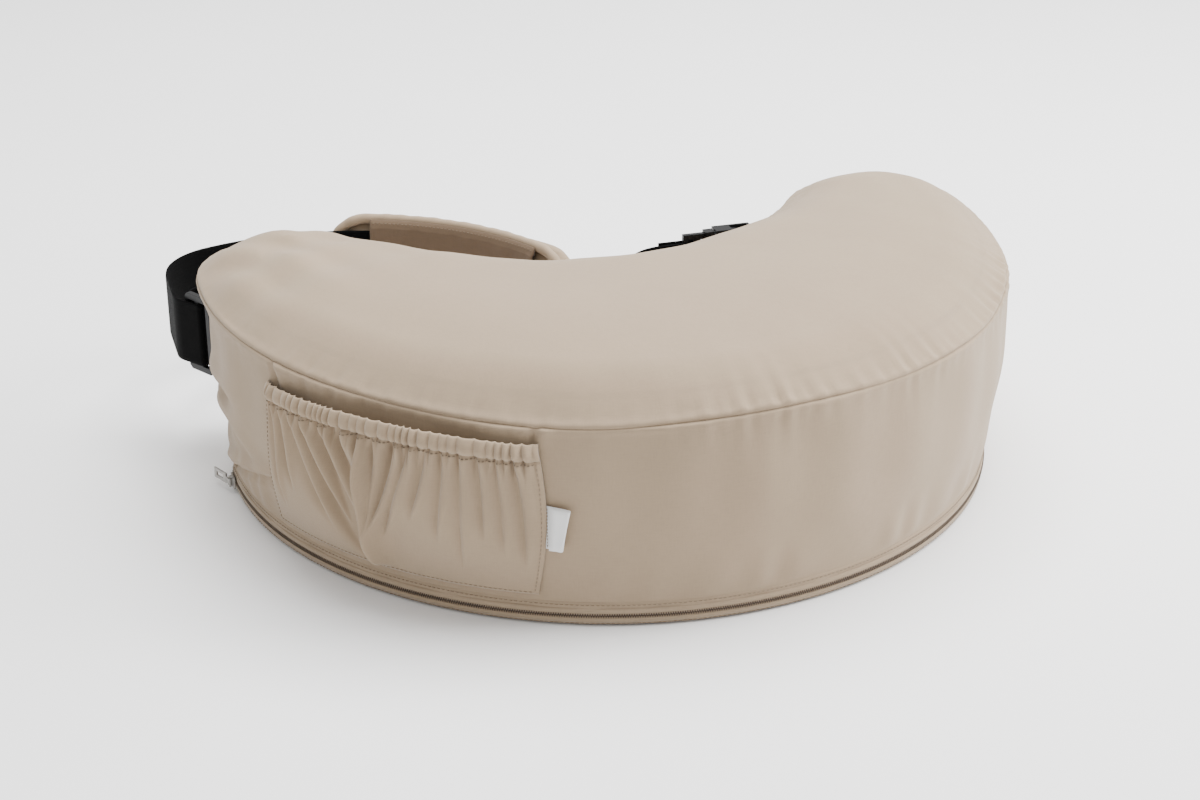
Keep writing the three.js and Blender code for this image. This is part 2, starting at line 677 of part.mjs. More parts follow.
function buckleMale() {
  const frame = block([MALE.fromX, MALE.baseX + 1], around(BAR_T / 2), heightAround(MALE.height / 2));
  const base = block([MALE.baseX, MALE.faceX], around(MALE.baseT / 2), heightAround(BUCKLE.height / 2 - 1));
  const slotHeight = heightAround(GLIDE.slotH / 2);
  const rear = MALE.fromX + BAR_W;
  const slots = [
    block([rear, rear + MALE.slot], around(BAR_T), slotHeight),
    block([maleCentreBar + BAR_W / 2, MALE.baseX], around(BAR_T), slotHeight),
  ];
  const tongue = block([MALE.faceX - 1, TONGUE.toX], around(CAVITY_HALF - GAP), heightAround(TONGUE.height / 2));
  return geometryOf(slots.reduce((a, b) => a.subtract(b), frame.add(base)).add(tongue));
}

function buckleProng(side) {
  const { backX, inner: low, arm, tipX, tipZ, shoulderZ } = PRONG;
  const outline = [
    [backX, low],
    [backX, low + arm],
    [WINDOW.fromX + GAP, low + arm + 6],
    [WINDOW.fromX + GAP, shoulderZ],
    [tipX - 5, shoulderZ - 1.5],
    [tipX, tipZ],
    [tipX - 7, tipZ - 3.5],
    [WINDOW.fromX, tipZ - 4.5],
  ].map(([x, z]) => [x, WEB.midZ + side * z]);
  return plateXZ(outline, around(PRONG.width / 2));
}

function buckleFemale() {
  const half = BUCKLE.height / 2;
  const body = block([BUCKLE.mouthX, BUCKLE.endX], around(BUCKLE.thickness / 2), heightAround(half));
  const cavity = block(
    [BUCKLE.mouthX - 1, BUCKLE.cavityX],
    around(CAVITY_HALF),
    heightAround(half - BUCKLE.wall - 1.5),
  );
  const windows = block([WINDOW.fromX, WINDOW.toX], around(CAVITY_HALF), heightAround(half + 1));
  const slotX = BUCKLE.endX - BAR_W - 2 - GLIDE.slot;
  const slot = block([slotX, slotX + GLIDE.slot], around(BUCKLE.thickness), heightAround(GLIDE.slotH / 2));
  const reliefs = [-1, 1].map((side) =>
    block(
      [slotX - 1, BUCKLE.endX + 1],
      side < 0
        ? [BUCKLE_Y - BUCKLE.thickness, BUCKLE_Y - BAR_T / 2 - 0.5]
        : [BUCKLE_Y + BAR_T / 2 + 0.5, BUCKLE_Y + BUCKLE.thickness],
      heightAround(half + 1),
    ),
  );
  return geometryOf([cavity, windows, slot, ...reliefs].reduce((a, b) => a.subtract(b), body));
}

// A folded tab of webbing from the right horn round the buckle's bar.
const TAB_FOLD_R = BAR_T / 2 + 0.5 + 0.4 + WEB.thickness / 2;
function anchorTab() {
  const inside = { x: TAB_RUN_X, y: BUCKLE_Y - TAB_FOLD_R, headingDeg: 180 };
  const outside = { x: TAB_RUN_X, y: BUCKLE_Y + TAB_FOLD_R, headingDeg: 180 };
  const reach = 12;
  const near = leaveHorn(1, RIGHT_LANDING, LAND_OFFSET, inside, reach);
  const far = leaveHorn(1, RIGHT_LANDING, LAND_OFFSET + WEB.thickness + 0.4, outside, reach);
  const foldX = BUCKLE.endX - BAR_W - 1;
  const fold = new PlanPath(inside.x, inside.y, 180).line(inside.x - foldX).turn(TAB_FOLD_R, -180, 8);
  const first = [...near, ...fold.marks.slice(1).map((mark) => ({ mark, lean: [0, 0] }))];
  // The far layer runs back to the horn, so its marks are read in reverse and turned about.
  const back = far.reverse().map(({ mark, lean }) => ({
    mark: { ...mark, headingDeg: mark.headingDeg + 180 },
    lean: lean.map((shift) => -shift),
  }));
  return loft([...first, ...back].map(({ mark, lean }) => webCorners(mark, lean)));
}

// ---- Side label, folded out from the pocket's edge ----
function sideLabel() {
  const deg = pocketDeg(1, LABEL.lowZ) + 0.5;
  const [x, y] = frontPoint(LABEL.highZ, deg, GAP + LABEL.thickness / 2);
  const path = new PlanPath(x, y, deg - LABEL.tiltDeg);
  path.line(LABEL.length).turn(LABEL.fold, -180, 6).line(LABEL.length - 1);
  return loft(path.marks.map((mark) => bandCorners(mark, LABEL.thickness, [LABEL.lowZ, LABEL.highZ])));
}

// ---- Back pad ----
const PAD_MID_Z = (PAD.lowZ + PAD.highZ) / 2;
const PAD_HALF = (PAD.highZ - PAD.lowZ) / 2;
const PAD_IN = BELT_ARC.radius + WEB.thickness / 2 + 0.4;
const PAD_OUT = PAD_IN + PAD.thickness;
const FOAM_IN = PAD_IN + PAD.cloth + GAP;
const perMm = (radius) => THREE.MathUtils.radToDeg(1 / radius);

// A point at an angle and radius about the belt arc's centre.
const arcPoint = (deg, radius, z) => [BELT_ARC.x + radius * sin(deg), BELT_ARC.y + radius * cos(deg), z];

// Half the pad's height at a distance in from its end: the ends are rounded.
function padHalf(fromEnd, inset) {
  const t = clamp01(fromEnd / PAD.endR);
  return PAD_HALF - inset - PAD.endR * (1 - Math.sqrt(t * (2 - t))) * 0.9;
}

const padShares = [0, 0.015, 0.05, ...spread(0.1, 0.9, 13), 0.95, 0.985, 1];

// The pad's block at a margin inside its faces, with rounded edges towards the outside.
function padBlock(margin, innerRadius, edge) {
  const trim = margin * perMm(PAD_IN);
  const from = PAD.fromDeg + trim;
  const to = PAD.toDeg - trim;
  return loft(
    padShares.map((share) => {
      const deg = mix(from, to, share);
      const fromEnd = Math.min(share, 1 - share) * (to - from) * rad(1) * PAD_IN;
      const half = padHalf(fromEnd, margin);
      const out = PAD_OUT - margin;
      const section = [
        [innerRadius, half - 1],
        [innerRadius + 3, half],
        [out - edge, half],
        [out - edge * 0.3, half - edge * 0.35],
        [out, half - edge * 1.4],
      ];
      const mirrored = section.map(([r, h]) => [r, -h]).reverse();
      return [...section, ...mirrored].map(([r, h]) => arcPoint(deg, r, PAD_MID_Z + h));
    }),
  );
}

function padCoverOuter() {
  const shell = solidOf(padBlock(0, FOAM_IN, PAD.edge));
  const room = solidOf(padBlock(PAD.cloth, FOAM_IN - 2, PAD.edge));
  return geometryOf(shell.subtract(room));
}

function padCoverInner() {
  const lengthMm = (PAD.toDeg - PAD.fromDeg) / perMm(PAD_IN);
  return loft(
    padShares.map((share) => {
      const deg = mix(PAD.fromDeg, PAD.toDeg, share);
      const half = padHalf(Math.min(share, 1 - share) * lengthMm, 1);
      return [
        [PAD_IN + PAD.cloth, half],
        [PAD_IN, half],
        [PAD_IN, -half],
        [PAD_IN + PAD.cloth, -half],
      ].map(([r, h]) => arcPoint(deg, r, PAD_MID_Z + h));
    }),
  );
}

// The panel that holds the webbing to the pad: a shallow channel, open at both ends.
function padSleeve() {
  const face = BELT_ARC.radius - WEB.thickness / 2 - GAP - 0.1;
  const half = WEB.width / 2 + SLEEVE.clear;
  const lipEnd = PAD_IN - GAP;
  return loft(
    spread(SLEEVE.fromDeg, SLEEVE.toDeg, 12).map((deg) =>
      [
        [face - SLEEVE.cloth, half + SLEEVE.lip],
        [lipEnd, half + SLEEVE.lip],
        [lipEnd, half],
        [face, half],
        [face, -half],
        [lipEnd, -half],
        [lipEnd, -half - SLEEVE.lip],
        [face - SLEEVE.cloth, -half - SLEEVE.lip],
      ].map(([r, h]) => arcPoint(deg, r, WEB.midZ + h)),
    ),
  );
}

// ---- Materials and the finished group ----
const standard = (color, roughness, metalness = 0) => new THREE.MeshStandardMaterial({ color, roughness, metalness });
const cloth = standard(0xc9bbaa, 0.95);
const darkerCloth = standard(0xb09c84, 0.95);
const liner = standard(0xefebe2, 0.95);
const foam = standard(0xf3ecc9, 1.0);
const tape = standard(0xb8a892, 0.9);
const coil = standard(0x57503f, 0.5);
const metal = standard(0xbdb8b0, 0.35, 1.0);
const webbing = standard(0x1c1c1f, 0.85);
const plastic = standard(0x232326, 0.45);
const elastic = standard(0xf5f2ea, 0.9);
const labelCloth = standard(0xdfdfdd, 0.8);

const group = new THREE.Group();
function add(name, geometry, material) {
  const mesh = new THREE.Mesh(geometry, material);
  mesh.name = name;
  group.add(mesh);
}

add("foam_core", coreGeometry(), foam);
add("liner_lower", linerLower(), liner);
add("liner_upper", linerUpper(), liner);
add("cover_top_panel", topPanel(), cloth);
add("cover_gusset_front", gusset(frontStations, overZip), cloth);
add("cover_gusset_waist", gusset(waistStations, () => ABOVE_BASE), cloth);
add("cover_bottom_panel", bottomPanel(), cloth);
add("zip_tape_lower", tapeBand(ABOVE_BASE, ZIP_MID_Z - TAPE_SLOT / 2), tape);
add("zip_tape_upper", tapeBand(ZIP_MID_Z + TAPE_SLOT / 2, WALL_FOOT_Z), tape);
add("zip_coil_lower", coilBand(COIL_LOW), coil);
add("zip_coil_upper", coilBand(COIL_HIGH), coil);
add("zip_stop_left", zipStop(-1), metal);
add("zip_stop_right", zipStop(1), metal);
add("zip_slider", sliderGeometry(), metal);
add("zip_pull", pullGeometry(), metal);
add("pocket_panel", pocketPanel(), cloth);
add("pocket_hem", pocketHem(), cloth);
add("pocket_elastic", pocketElastic(), elastic);
add("side_label", sideLabel(), labelCloth);
add("belt_webbing", beltWebbing(), webbing);
add("left_anchor_patch", anchorPatch(-1, LEFT_LANDING), darkerCloth);
add("tri_glide", triGlide(), plastic);
add("pad_foam", padBlock(PAD.cloth + GAP, FOAM_IN, PAD.edge), foam);
add("pad_cover_inner", padCoverInner(), cloth);
add("pad_cover_outer", padCoverOuter(), cloth);
add("pad_sleeve", padSleeve(), darkerCloth);
add("buckle_male", buckleMale(), plastic);
add("buckle_prong_upper", buckleProng(1), plastic);
add("buckle_prong_lower", buckleProng(-1), plastic);
add("buckle_female", buckleFemale(), plastic);
add("right_anchor_tab", anchorTab(), webbing);
add("right_anchor_patch", anchorPatch(1, RIGHT_LANDING), darkerCloth);

export default group;
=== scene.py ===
"""Nursing pillow with a gathered pocket and a padded back belt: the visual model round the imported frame."""

import math

import bpy
import numpy as np
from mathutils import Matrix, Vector


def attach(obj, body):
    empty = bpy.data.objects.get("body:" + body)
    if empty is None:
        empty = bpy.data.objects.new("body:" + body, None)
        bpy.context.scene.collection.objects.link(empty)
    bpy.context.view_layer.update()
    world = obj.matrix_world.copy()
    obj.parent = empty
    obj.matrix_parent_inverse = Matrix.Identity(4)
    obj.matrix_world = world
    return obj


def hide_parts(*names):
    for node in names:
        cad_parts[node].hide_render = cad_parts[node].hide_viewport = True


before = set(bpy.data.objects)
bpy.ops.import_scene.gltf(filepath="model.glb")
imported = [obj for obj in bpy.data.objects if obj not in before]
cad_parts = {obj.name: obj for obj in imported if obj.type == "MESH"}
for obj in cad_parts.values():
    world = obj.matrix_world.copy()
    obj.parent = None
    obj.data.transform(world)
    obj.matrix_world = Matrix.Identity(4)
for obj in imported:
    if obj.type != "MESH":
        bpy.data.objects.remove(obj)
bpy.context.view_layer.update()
MM = 0.001
TAU = 2 * math.pi
ROOT = "cushion"
PAD_BODY = "back_pad"

# ---- Sizes shared with the CAD part, in millimetres ----
SEAM_Z = 150.0
CROWN_RISE = 23.0
CROWN_WIDTH = 60.0
FOOT_Z = 17.0
BULGE = 5.0
TIP = 95.0
# Each level: the front arc's radius and centre, the horns' radius, and the waist's middle.
SEAM_LEVEL = (300.0, 113.0, 70.0, 79.0)
FOOT_LEVEL = (286.0, 101.0, 64.0, 73.0)
CENTRE_Y = SEAM_LEVEL[1]
ZIP_DEG = 90.9
ZIP_MID_Z = 7.8
POCKET_FOOT = (-69.0, -26.0)
POCKET_SEAM = (-64.5, -24.6)
POCKET_FOOT_Z = 22.5
POCKET_TOP_Z = 134.0
POCKET_RISE = 5.0
POCKET_SWELL = 14.0
HEM_H = 12.0
WEB_MID = 88.0
WEB_W = 50.0
WEB_T = 1.6
ARC_X, ARC_Y, ARC_R = -207.0, 113.0, 196.0
ARC_FROM, ARC_TO = -20.0, 80.0
BUCKLE_Y = 199.2
LEFT_SPAN, RIGHT_SPAN = (-14.0, 10.0), (-6.0, 20.0)
PAD_FROM, PAD_TO = 9.5, 75.0
PAD_LOW, PAD_HIGH = 26.0, 124.0


def sind(a):
    return math.sin(math.radians(a))


def cosd(a):
    return math.cos(math.radians(a))


def lerp(a, b, t):
    return a + (b - a) * t


def clamp01(t):
    return min(1.0, max(0.0, t))


def smooth(t):
    t = np.clip(t, 0, 1)
    return t * t * (3 - 2 * t)


def ease(t):
    return float(smooth(t))


def bell(x, width):
    return np.exp(-((x / width) ** 2))


# ---- Meshes ----


def add_object(name, data):
    obj = bpy.data.objects.new(name, data)
    bpy.context.scene.collection.objects.link(obj)
    return obj


def make_mesh(name, points, faces, material, uv=None, rounded=True):
    """points are in millimetres; uv holds one pair per point, in metres."""
    mesh = bpy.data.meshes.new(name)
    mesh.from_pydata((np.asarray(points, float) * MM).tolist(), [], [list(map(int, f)) for f in faces])
    mesh.validate()
    if uv is not None:
        layer = mesh.uv_layers.new(name="weave")
        index = np.empty(len(mesh.loops), int)
        mesh.loops.foreach_get("vertex_index", index)
        layer.data.foreach_set("uv", np.asarray(uv, float)[index].ravel())
    if rounded:
        mesh.polygons.foreach_set("use_smooth", [True] * len(mesh.polygons))
    mesh.materials.append(material)
    return add_object(name, mesh)


def grid_faces(rows, cols, wrap_cols=False, wrap_rows=False, start=0):
    faces = []
    for r in range(rows if wrap_rows else rows - 1):
        for c in range(cols if wrap_cols else cols - 1):
            a = start + r * cols + c
            b = start + r * cols + (c + 1) % cols
            up = ((r + 1) % rows - r) * cols
            faces.append((a, b, b + up, a + up))
    return faces


def run_along(line):
    """The distance of each point of a line from its start."""
    return np.concatenate([[0], np.cumsum(np.linalg.norm(np.diff(line, axis=0), axis=1))])


def tube_faces(rows, cols, start=0):
    """A grid closed round, with a cap on each end."""
    first, last = range(start, start + cols), range(start + (rows - 1) * cols, start + rows * cols)
    return grid_faces(rows, cols, wrap_cols=True, start=start) + [tuple(first)[::-1], tuple(last)]


def fill_end(points, faces, ring, across, spot, flip):
    """Closes a ring with ribs across it; spot gives the point a share of the way from a to b."""
    half = len(ring) // 2
    ribs, made = [], []
    for i in range(1, half):
        near, far = ring[i], ring[-i]
        a, b = np.array(points[near]), np.array(points[far])
        first = len(points)
        points += [spot(a, b, j / across) for j in range(1, across)]
        ribs.append([near, *range(first, len(points)), far])
    for p, q in zip(ribs, ribs[1:]):
        made += [(p[j], q[j], q[j + 1], p[j + 1]) for j in range(across)]
    for tip, rib in ((ring[0], ribs[0]), (ring[half], ribs[-1][::-1])):
        made += [(tip, rib[j], rib[j + 1]) for j in range(across)]
    faces += [face[::-1] for face in made] if flip else made


def vertex_normals(points, faces):
    normals = np.zeros_like(points)
    for corners in (4, 3):
        chosen = np.array([f for f in faces if len(f) == corners])
        cross = np.cross(points[chosen[:, 2]] - points[chosen[:, 0]], points[chosen[:, -1]] - points[chosen[:, 1]])
        for k in range(corners):
            np.add.at(normals, chosen[:, k], cross)
    return normals / np.maximum(np.linalg.norm(normals, axis=1, keepdims=True), 1e-9)


def outward(points, faces):
    """The faces, turned so that the closed mesh faces out."""
    volume = 0.0
    for f in faces:
        a = points[f[0]]
        for k in range(1, len(f) - 1):
            volume += np.dot(a, np.cross(points[f[k]], points[f[k + 1]]))
    return faces if volume > 0 else [tuple(reversed(f)) for f in faces]


def there_and_back(count):
    """(side, share) along one face of a strip and back along the other."""
    return [(1, k / count) for k in range(count + 1)] + [(-1, 1 - k / count) for k in range(count + 1)]


def unit(rows):
    return rows / np.linalg.norm(rows, axis=1, keepdims=True)


def add_subdivision(obj):
    modifier = obj.modifiers.new("subdivision", "SUBSURF")
    modifier.levels = modifier.render_levels = 1


def ride(obj, body, replaced=(), slot=None):
    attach(obj, body)
    if replaced:
        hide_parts(*replaced)
    return obj


# ---- Materials ----


class Nodes:
    def __init__(self, name):
        self.material = bpy.data.materials.new(name)
        self.material.use_nodes = True
        self.tree = self.material.node_tree
        self.shader = self.tree.nodes["Principled BSDF"]
        coords = self.node("ShaderNodeTexCoord")
        self.weave, self.body = coords.outputs["UV"], coords.outputs["Object"]

    def node(self, kind, **settings):
        made = self.tree.nodes.new(kind)
        for key, value in settings.items():
            if key in made.inputs:
                made.inputs[key].default_value = value
            else:
                setattr(made, key, value)
        return made

    def link(self, out, into):
        self.tree.links.new(out, into)

    def math(self, operation, a, b=None):
        made = self.node("ShaderNodeMath", operation=operation)
        for socket, value in zip(made.inputs, (a, b)):
            if isinstance(value, (int, float)):
                socket.default_value = value
            elif value is not None:
                self.link(value, socket)
        return made.outputs[0]

    def blend(self, a, share_a, b, share_b):
        return self.math("ADD", self.math("MULTIPLY", a, share_a), self.math("MULTIPLY", b, share_b))

    def scaled(self, value, factor, plus):
        return self.math("ADD", self.math("MULTIPLY", value, factor), plus)

    def wave(self, value, pitch):
        return self.math("SINE", self.math("MULTIPLY", value, pitch))

    def mapped(self, source, scale):
        mapping = self.node("ShaderNodeMapping")
        mapping.inputs["Scale"].default_value = scale
        self.link(source, mapping.inputs["Vector"])
        return mapping.outputs[0]

    def noise(self, vector, scale, detail=2.0, rough=0.5):
        made = self.node("ShaderNodeTexNoise", Scale=scale, Detail=detail, Roughness=rough)
        self.link(vector, made.inputs["Vector"])
        return made.outputs["Fac"]

    def ramp(self, value, stops):
        made = self.node("ShaderNodeValToRGB")
        elements = made.color_ramp.elements
        while len(elements) < len(stops):
            elements.new(0.5)
        for element, (place, color) in zip(elements, stops):
            element.position = place
            element.color = (*color, 1.0)
        self.link(value, made.inputs[0])
        return made.outputs["Color"]

    def bump(self, height, strength, distance, normal=None):
        made = self.node("ShaderNodeBump", Strength=strength, Distance=distance)
        self.link(height, made.inputs["Height"])
        if normal is not None:
            self.link(normal, made.inputs["Normal"])
        return made.outputs["Normal"]

    def finish(self, base, rough, normal, **values):
        """Links colour, roughness and normal, and sets the shader's other sockets."""
        for socket, out in (("Base Color", base), ("Roughness", rough), ("Normal", normal)):
            self.link(out, self.shader.inputs[socket])
        for socket, value in values.items():
            self.shader.inputs[socket.replace("_", " ")].default_value = value
        return self.material


def shade(color, factor):
    return tuple(min(1.0, c * factor) for c in color)


def cloth_material(name, color, use_uv=True, thread=0.9, depth=0.35, sheen=0.2, contrast=0.10):
    """A matt plain weave: crossed threads with slubs, and slow changes of shade."""
    n = Nodes(name)
    source = n.weave if use_uv else n.body
    pitch = 1000.0 * TAU / thread
    split = n.node("ShaderNodeSeparateXYZ")
    n.link(source, split.inputs[0])
    across, along = split.outputs[0], split.outputs[1]
    if not use_uv:
        across = n.math("ADD", split.outputs[0], n.math("MULTIPLY", split.outputs[1], 0.83))
        along = split.outputs[2]
    weave = n.scaled(n.math("MULTIPLY", n.wave(across, pitch), n.wave(along, pitch)), 0.5, 0.5)
    streak_scale = (1.0, 0.12, 1.0) if use_uv else (0.12, 0.12, 1.0)
    cross_scale = (0.12, 1.0, 1.0) if use_uv else (1.0, 1.0, 0.12)
    slub = n.noise(n.mapped(source, cross_scale), 950.0, 3.0, 0.6)
    slub_cross = n.noise(n.mapped(source, streak_scale), 950.0, 3.0, 0.6)
    slubs = n.math("MULTIPLY", n.math("ADD", slub, slub_cross), 0.5)
    tone = n.blend(slubs, 0.75, n.noise(n.body, 16.0, 3.0, 0.55), 0.25)
    stops = [(0.30, shade(color, 1 - contrast)), (0.52, color), (0.72, shade(color, 1 + 0.6 * contrast))]
    fine = n.bump(n.blend(weave, 0.4, slubs, 0.6), depth, 0.0005)
    normal = n.bump(n.noise(n.body, 130.0, 2.0, 0.5), 0.10, 0.0012, fine)
    return n.finish(
        n.ramp(tone, stops), n.scaled(slubs, 0.12, 0.84), normal,
        Sheen_Weight=sheen, Sheen_Roughness=0.5, Specular_IOR_Level=0.25,
    )


def webbing_material(name, color):
    """Ribbed webbing: a fine twill over the ribs that are in the mesh."""
    n = Nodes(name)
    split = n.node("ShaderNodeSeparateXYZ")
    n.link(n.weave, split.inputs[0])
    pitch = 1000.0 * TAU
    run, width = split.outputs[0], split.outputs[1]
    diagonal = n.wave(n.math("ADD", run, width), pitch / 1.1)
    height = n.blend(diagonal, 0.5, n.wave(run, pitch / 0.7), 0.3)
    fuzz = n.noise(n.body, 700.0, 3.0, 0.6)
    stops = [(0.2, shade(color, 0.6)), (0.5, color), (0.8, shade(color, 2.0))]
    # The colour is mostly random fuzz tone; its share of the twill's height is painted shade in the grooves and
    # painted highlight on the raised threads.
    return n.finish(
        n.ramp(n.blend(fuzz, 0.7, height, 0.15), stops), n.scaled(fuzz, 0.2, 0.62), n.bump(height, 0.5, 0.0004),
        Sheen_Weight=0.01, Sheen_Roughness=0.4, Specular_IOR_Level=0.06,
    )


def plastic_material(name, color, rough=0.42):
    """Satin moulded plastic: fine texture, edges that catch the light, faint handling marks."""
    n = Nodes(name)
    grain = n.noise(n.body, 1600.0, 2.0, 0.5)
    marks = n.noise(n.body, 90.0, 4.0, 0.6)
    bevel = n.node("ShaderNodeBevel", samples=4, Radius=0.0006)
    return n.finish(
        n.ramp(marks, [(0.3, shade(color, 0.85)), (0.7, shade(color, 1.25))]), n.scaled(marks, 0.2, rough - 0.1),
        n.bump(grain, 0.25, 0.0002, bevel.outputs[0]), Specular_IOR_Level=0.28,
    )


def metal_material(name, color):
    """Light satin metal with fine brushing and small worn patches."""
    n = Nodes(name)
    brushed = n.noise(n.mapped(n.body, (1.0, 1.0, 12.0)), 400.0, 3.0, 0.6)
    worn = n.noise(n.body, 120.0, 3.0, 0.5)
    bevel = n.node("ShaderNodeBevel", samples=4, Radius=0.0004)
    return n.finish(
        n.ramp(worn, [(0.35, shade(color, 0.82)), (0.65, color)]), n.scaled(brushed, 0.2, 0.36),
        n.bump(brushed, 0.15, 0.0002, bevel.outputs[0]), Metallic=1.0,
    )


SAND = (0.312, 0.233, 0.156)
# Painted shade: the sleeve and the anchor patches are the cover's sand, darkened to stand in for the shade they
# lie in.
SHADED_SAND = (0.150, 0.102, 0.064)
cover_cloth = cloth_material("cover_cloth", SAND)
trim_cloth = cloth_material("trim_cloth", shade(SAND, 1.03), thread=0.8)
pad_cloth = cloth_material("pad_cloth", SAND, use_uv=False)
# Painted shade: a darker copy of the cover's sand cloth.
sleeve_cloth = cloth_material("sleeve_cloth", SHADED_SAND)
dark_thread = cloth_material("dark_thread", shade(SAND, 0.45), use_uv=False, thread=0.4, contrast=0.15)
thread_cloth = cloth_material("thread", shade(SAND, 0.74), use_uv=False, thread=0.4, contrast=0.15)
tape_cloth = cloth_material("zip_tape", shade(SAND, 1.05), thread=0.7)
label_cloth = cloth_material("label_cloth", (0.70, 0.70, 0.69), thread=0.5, depth=0.15, contrast=0.04)
black_thread = cloth_material("black_thread", (0.012, 0.012, 0.013), use_uv=False, thread=0.4)
black_webbing = webbing_material("black_webbing", (0.0014, 0.0014, 0.0016))
black_plastic = plastic_material("buckle_plastic", (0.0055, 0.0055, 0.006))
coil_plastic = plastic_material("coil_nylon", (0.105, 0.076, 0.052), 0.5)
zip_metal = metal_material("zip_metal", (0.50, 0.485, 0.46))


# ---- The cushion's outline, as in the CAD part ----


def level(z, offset):
    t = clamp01((z - FOOT_Z) / (SEAM_Z - FOOT_Z))
    out = offset + BULGE * math.sin(math.pi * t)
    radius, centre, horn, waist_y = (lerp(a, b, t) for a, b in zip(FOOT_LEVEL, SEAM_LEVEL))
    horn_x = (radius - horn) * sind(TIP)
    horn_y = centre - (radius - horn) * cosd(TIP)
    drop = waist_y - horn_y
    waist = (horn_x**2 + drop**2 - horn**2) / (2 * (horn - drop))
    return {
        "front": radius + out,
        "centre": centre,
        "horn": horn + out,
        "horn_x": horn_x,
        "horn_y": horn_y,
        "waist": waist - out,
        "waist_centre": waist_y + waist,
        "join": math.degrees(math.atan2(waist_y + waist - horn_y, -horn_x)),
    }


def front_point(z, deg, offset):
    a = level(z, offset)
    return (a["front"] * sind(deg), a["centre"] - a["front"] * cosd(deg), z)


def horn_point(z, side, deg, offset):
    a = level(z, offset)
    return (side * a["horn_x"] - a["horn"] * sind(deg), a["horn_y"] + a["horn"] * cosd(deg), z)


def place(a, arc, at):
    """A point of the outline whose arcs are a."""
    if arc == "front":
        return a["front"] * sind(at), a["centre"] - a["front"] * cosd(at)
    if arc == "waist":
        begin = a["join"] - 180
        deg = lerp(begin, -180 - begin, at)
        return a["waist"] * cosd(deg), a["waist_centre"] + a["waist"] * sind(deg)
    deg = lerp(TIP - 90, a["join"], at)
    side = 1 if arc == "right" else -1
    return side * (a["horn_x"] + a["horn"] * cosd(deg)), a["horn_y"] + a["horn"] * sind(deg)


# ---- Cushion ----
HORN_TIP = 0.6
HALF = 400
ZIP_RECESS = 1.9


def chains():
    """Stations from the left horn's tip to the right one's: round the front, and along the waist."""
    horn_n = 36
    front_n = HALF - 2 * horn_n
    front = [("left", HORN_TIP * (1 - i / horn_n)) for i in range(horn_n)]
    front += [("front", lerp(-TIP, TIP, i / front_n)) for i in range(front_n)]
    front += [("right", HORN_TIP * i / horn_n) for i in range(horn_n + 1)]
    side_n = 50
    waist_n = HALF - 2 * side_n
    waist = [("left", lerp(HORN_TIP, 1, i / side_n)) for i in range(side_n)]
    waist += [("waist", 1 - i / waist_n) for i in range(waist_n)]
    waist += [("right", lerp(1, HORN_TIP, i / side_n)) for i in range(side_n + 1)]
    return front, waist


def dome(inset):
    return SEAM_Z + CROWN_RISE * (1 - (1 - inset / CROWN_WIDTH) ** 2)


def cushion_rows():
    """(z, inset, distance along the profile from the seam) for every ring, from below to the top."""
    rows = [(0.0, inset) for inset in (58, 44, 30, 18, 10)]
    rows += [(0.3, 6), (1.0, 3.4), (2.0, 2.2), (4.0, 1.6), (8.0, 1.4), (12.0, 1.4), (15.5, 1.2)]
    rows += [(z, 0) for z in (17.0, 17.6, 18.6, 20.5, 23, 26, 29, 32)]
    rows += [(float(z), 0) for z in np.arange(36, 128, 4.6)]
    near_seam = (129.5, 133, 136, 138.8, 141.2, 143.4, 145.3, 146.7, 147.8, 148.5, 149.0, 149.4, 149.7, 150.0)
    rows += [(z, 0) for z in near_seam]
    crown = (0.2, 0.5, 0.9, 1.5, 2.4, 3.6, 5.2, 7.4, 10, 13, 16.5, 20.5, 25, 30, 36, 43, 50, 57)
    rows += [(dome(inset), inset) for inset in crown]
    path = []
    run = 0.0
    for i, (z, inset) in enumerate(rows):
        if i:
            run += math.hypot(z - rows[i - 1][0], inset - rows[i - 1][1])
        path.append(run)
    seam = path[rows.index((150.0, 0))]
    return [(z, inset, run - seam) for (z, inset), run in zip(rows, path)]


def beside_zip(station):
    arc, at = station
    return arc == "front" and abs(at) < ZIP_DEG


def relax(points, faces, chosen, rounds):
    """Evens out the chosen points of a mesh, in place."""
    quads = np.array([f if len(f) == 4 else (*f, f[-1]) for f in faces])
    a = np.concatenate([quads[:, k] for k in range(4)])
    b = np.concatenate([quads[:, (k + 1) % 4] for k in range(4)])
    keep = a != b
    a, b = a[keep], b[keep]
    count = np.bincount(a, minlength=len(points)) + np.bincount(b, minlength=len(points))
    for _ in range(rounds):
        total = np.zeros_like(points)
        for k in range(3):
            total[:, k] = np.bincount(a, points[b, k], len(points))
            total[:, k] += np.bincount(b, points[a, k], len(points))
        points[chosen] = (total / np.maximum(count, 1)[:, None])[chosen]


def around(points):
    """Degrees round the front arc's centre, and the distance from it."""
    x, y = points[:, 0], points[:, 1] - CENTRE_Y
    return np.degrees(np.arctan2(x, -y)), np.hypot(x, y)


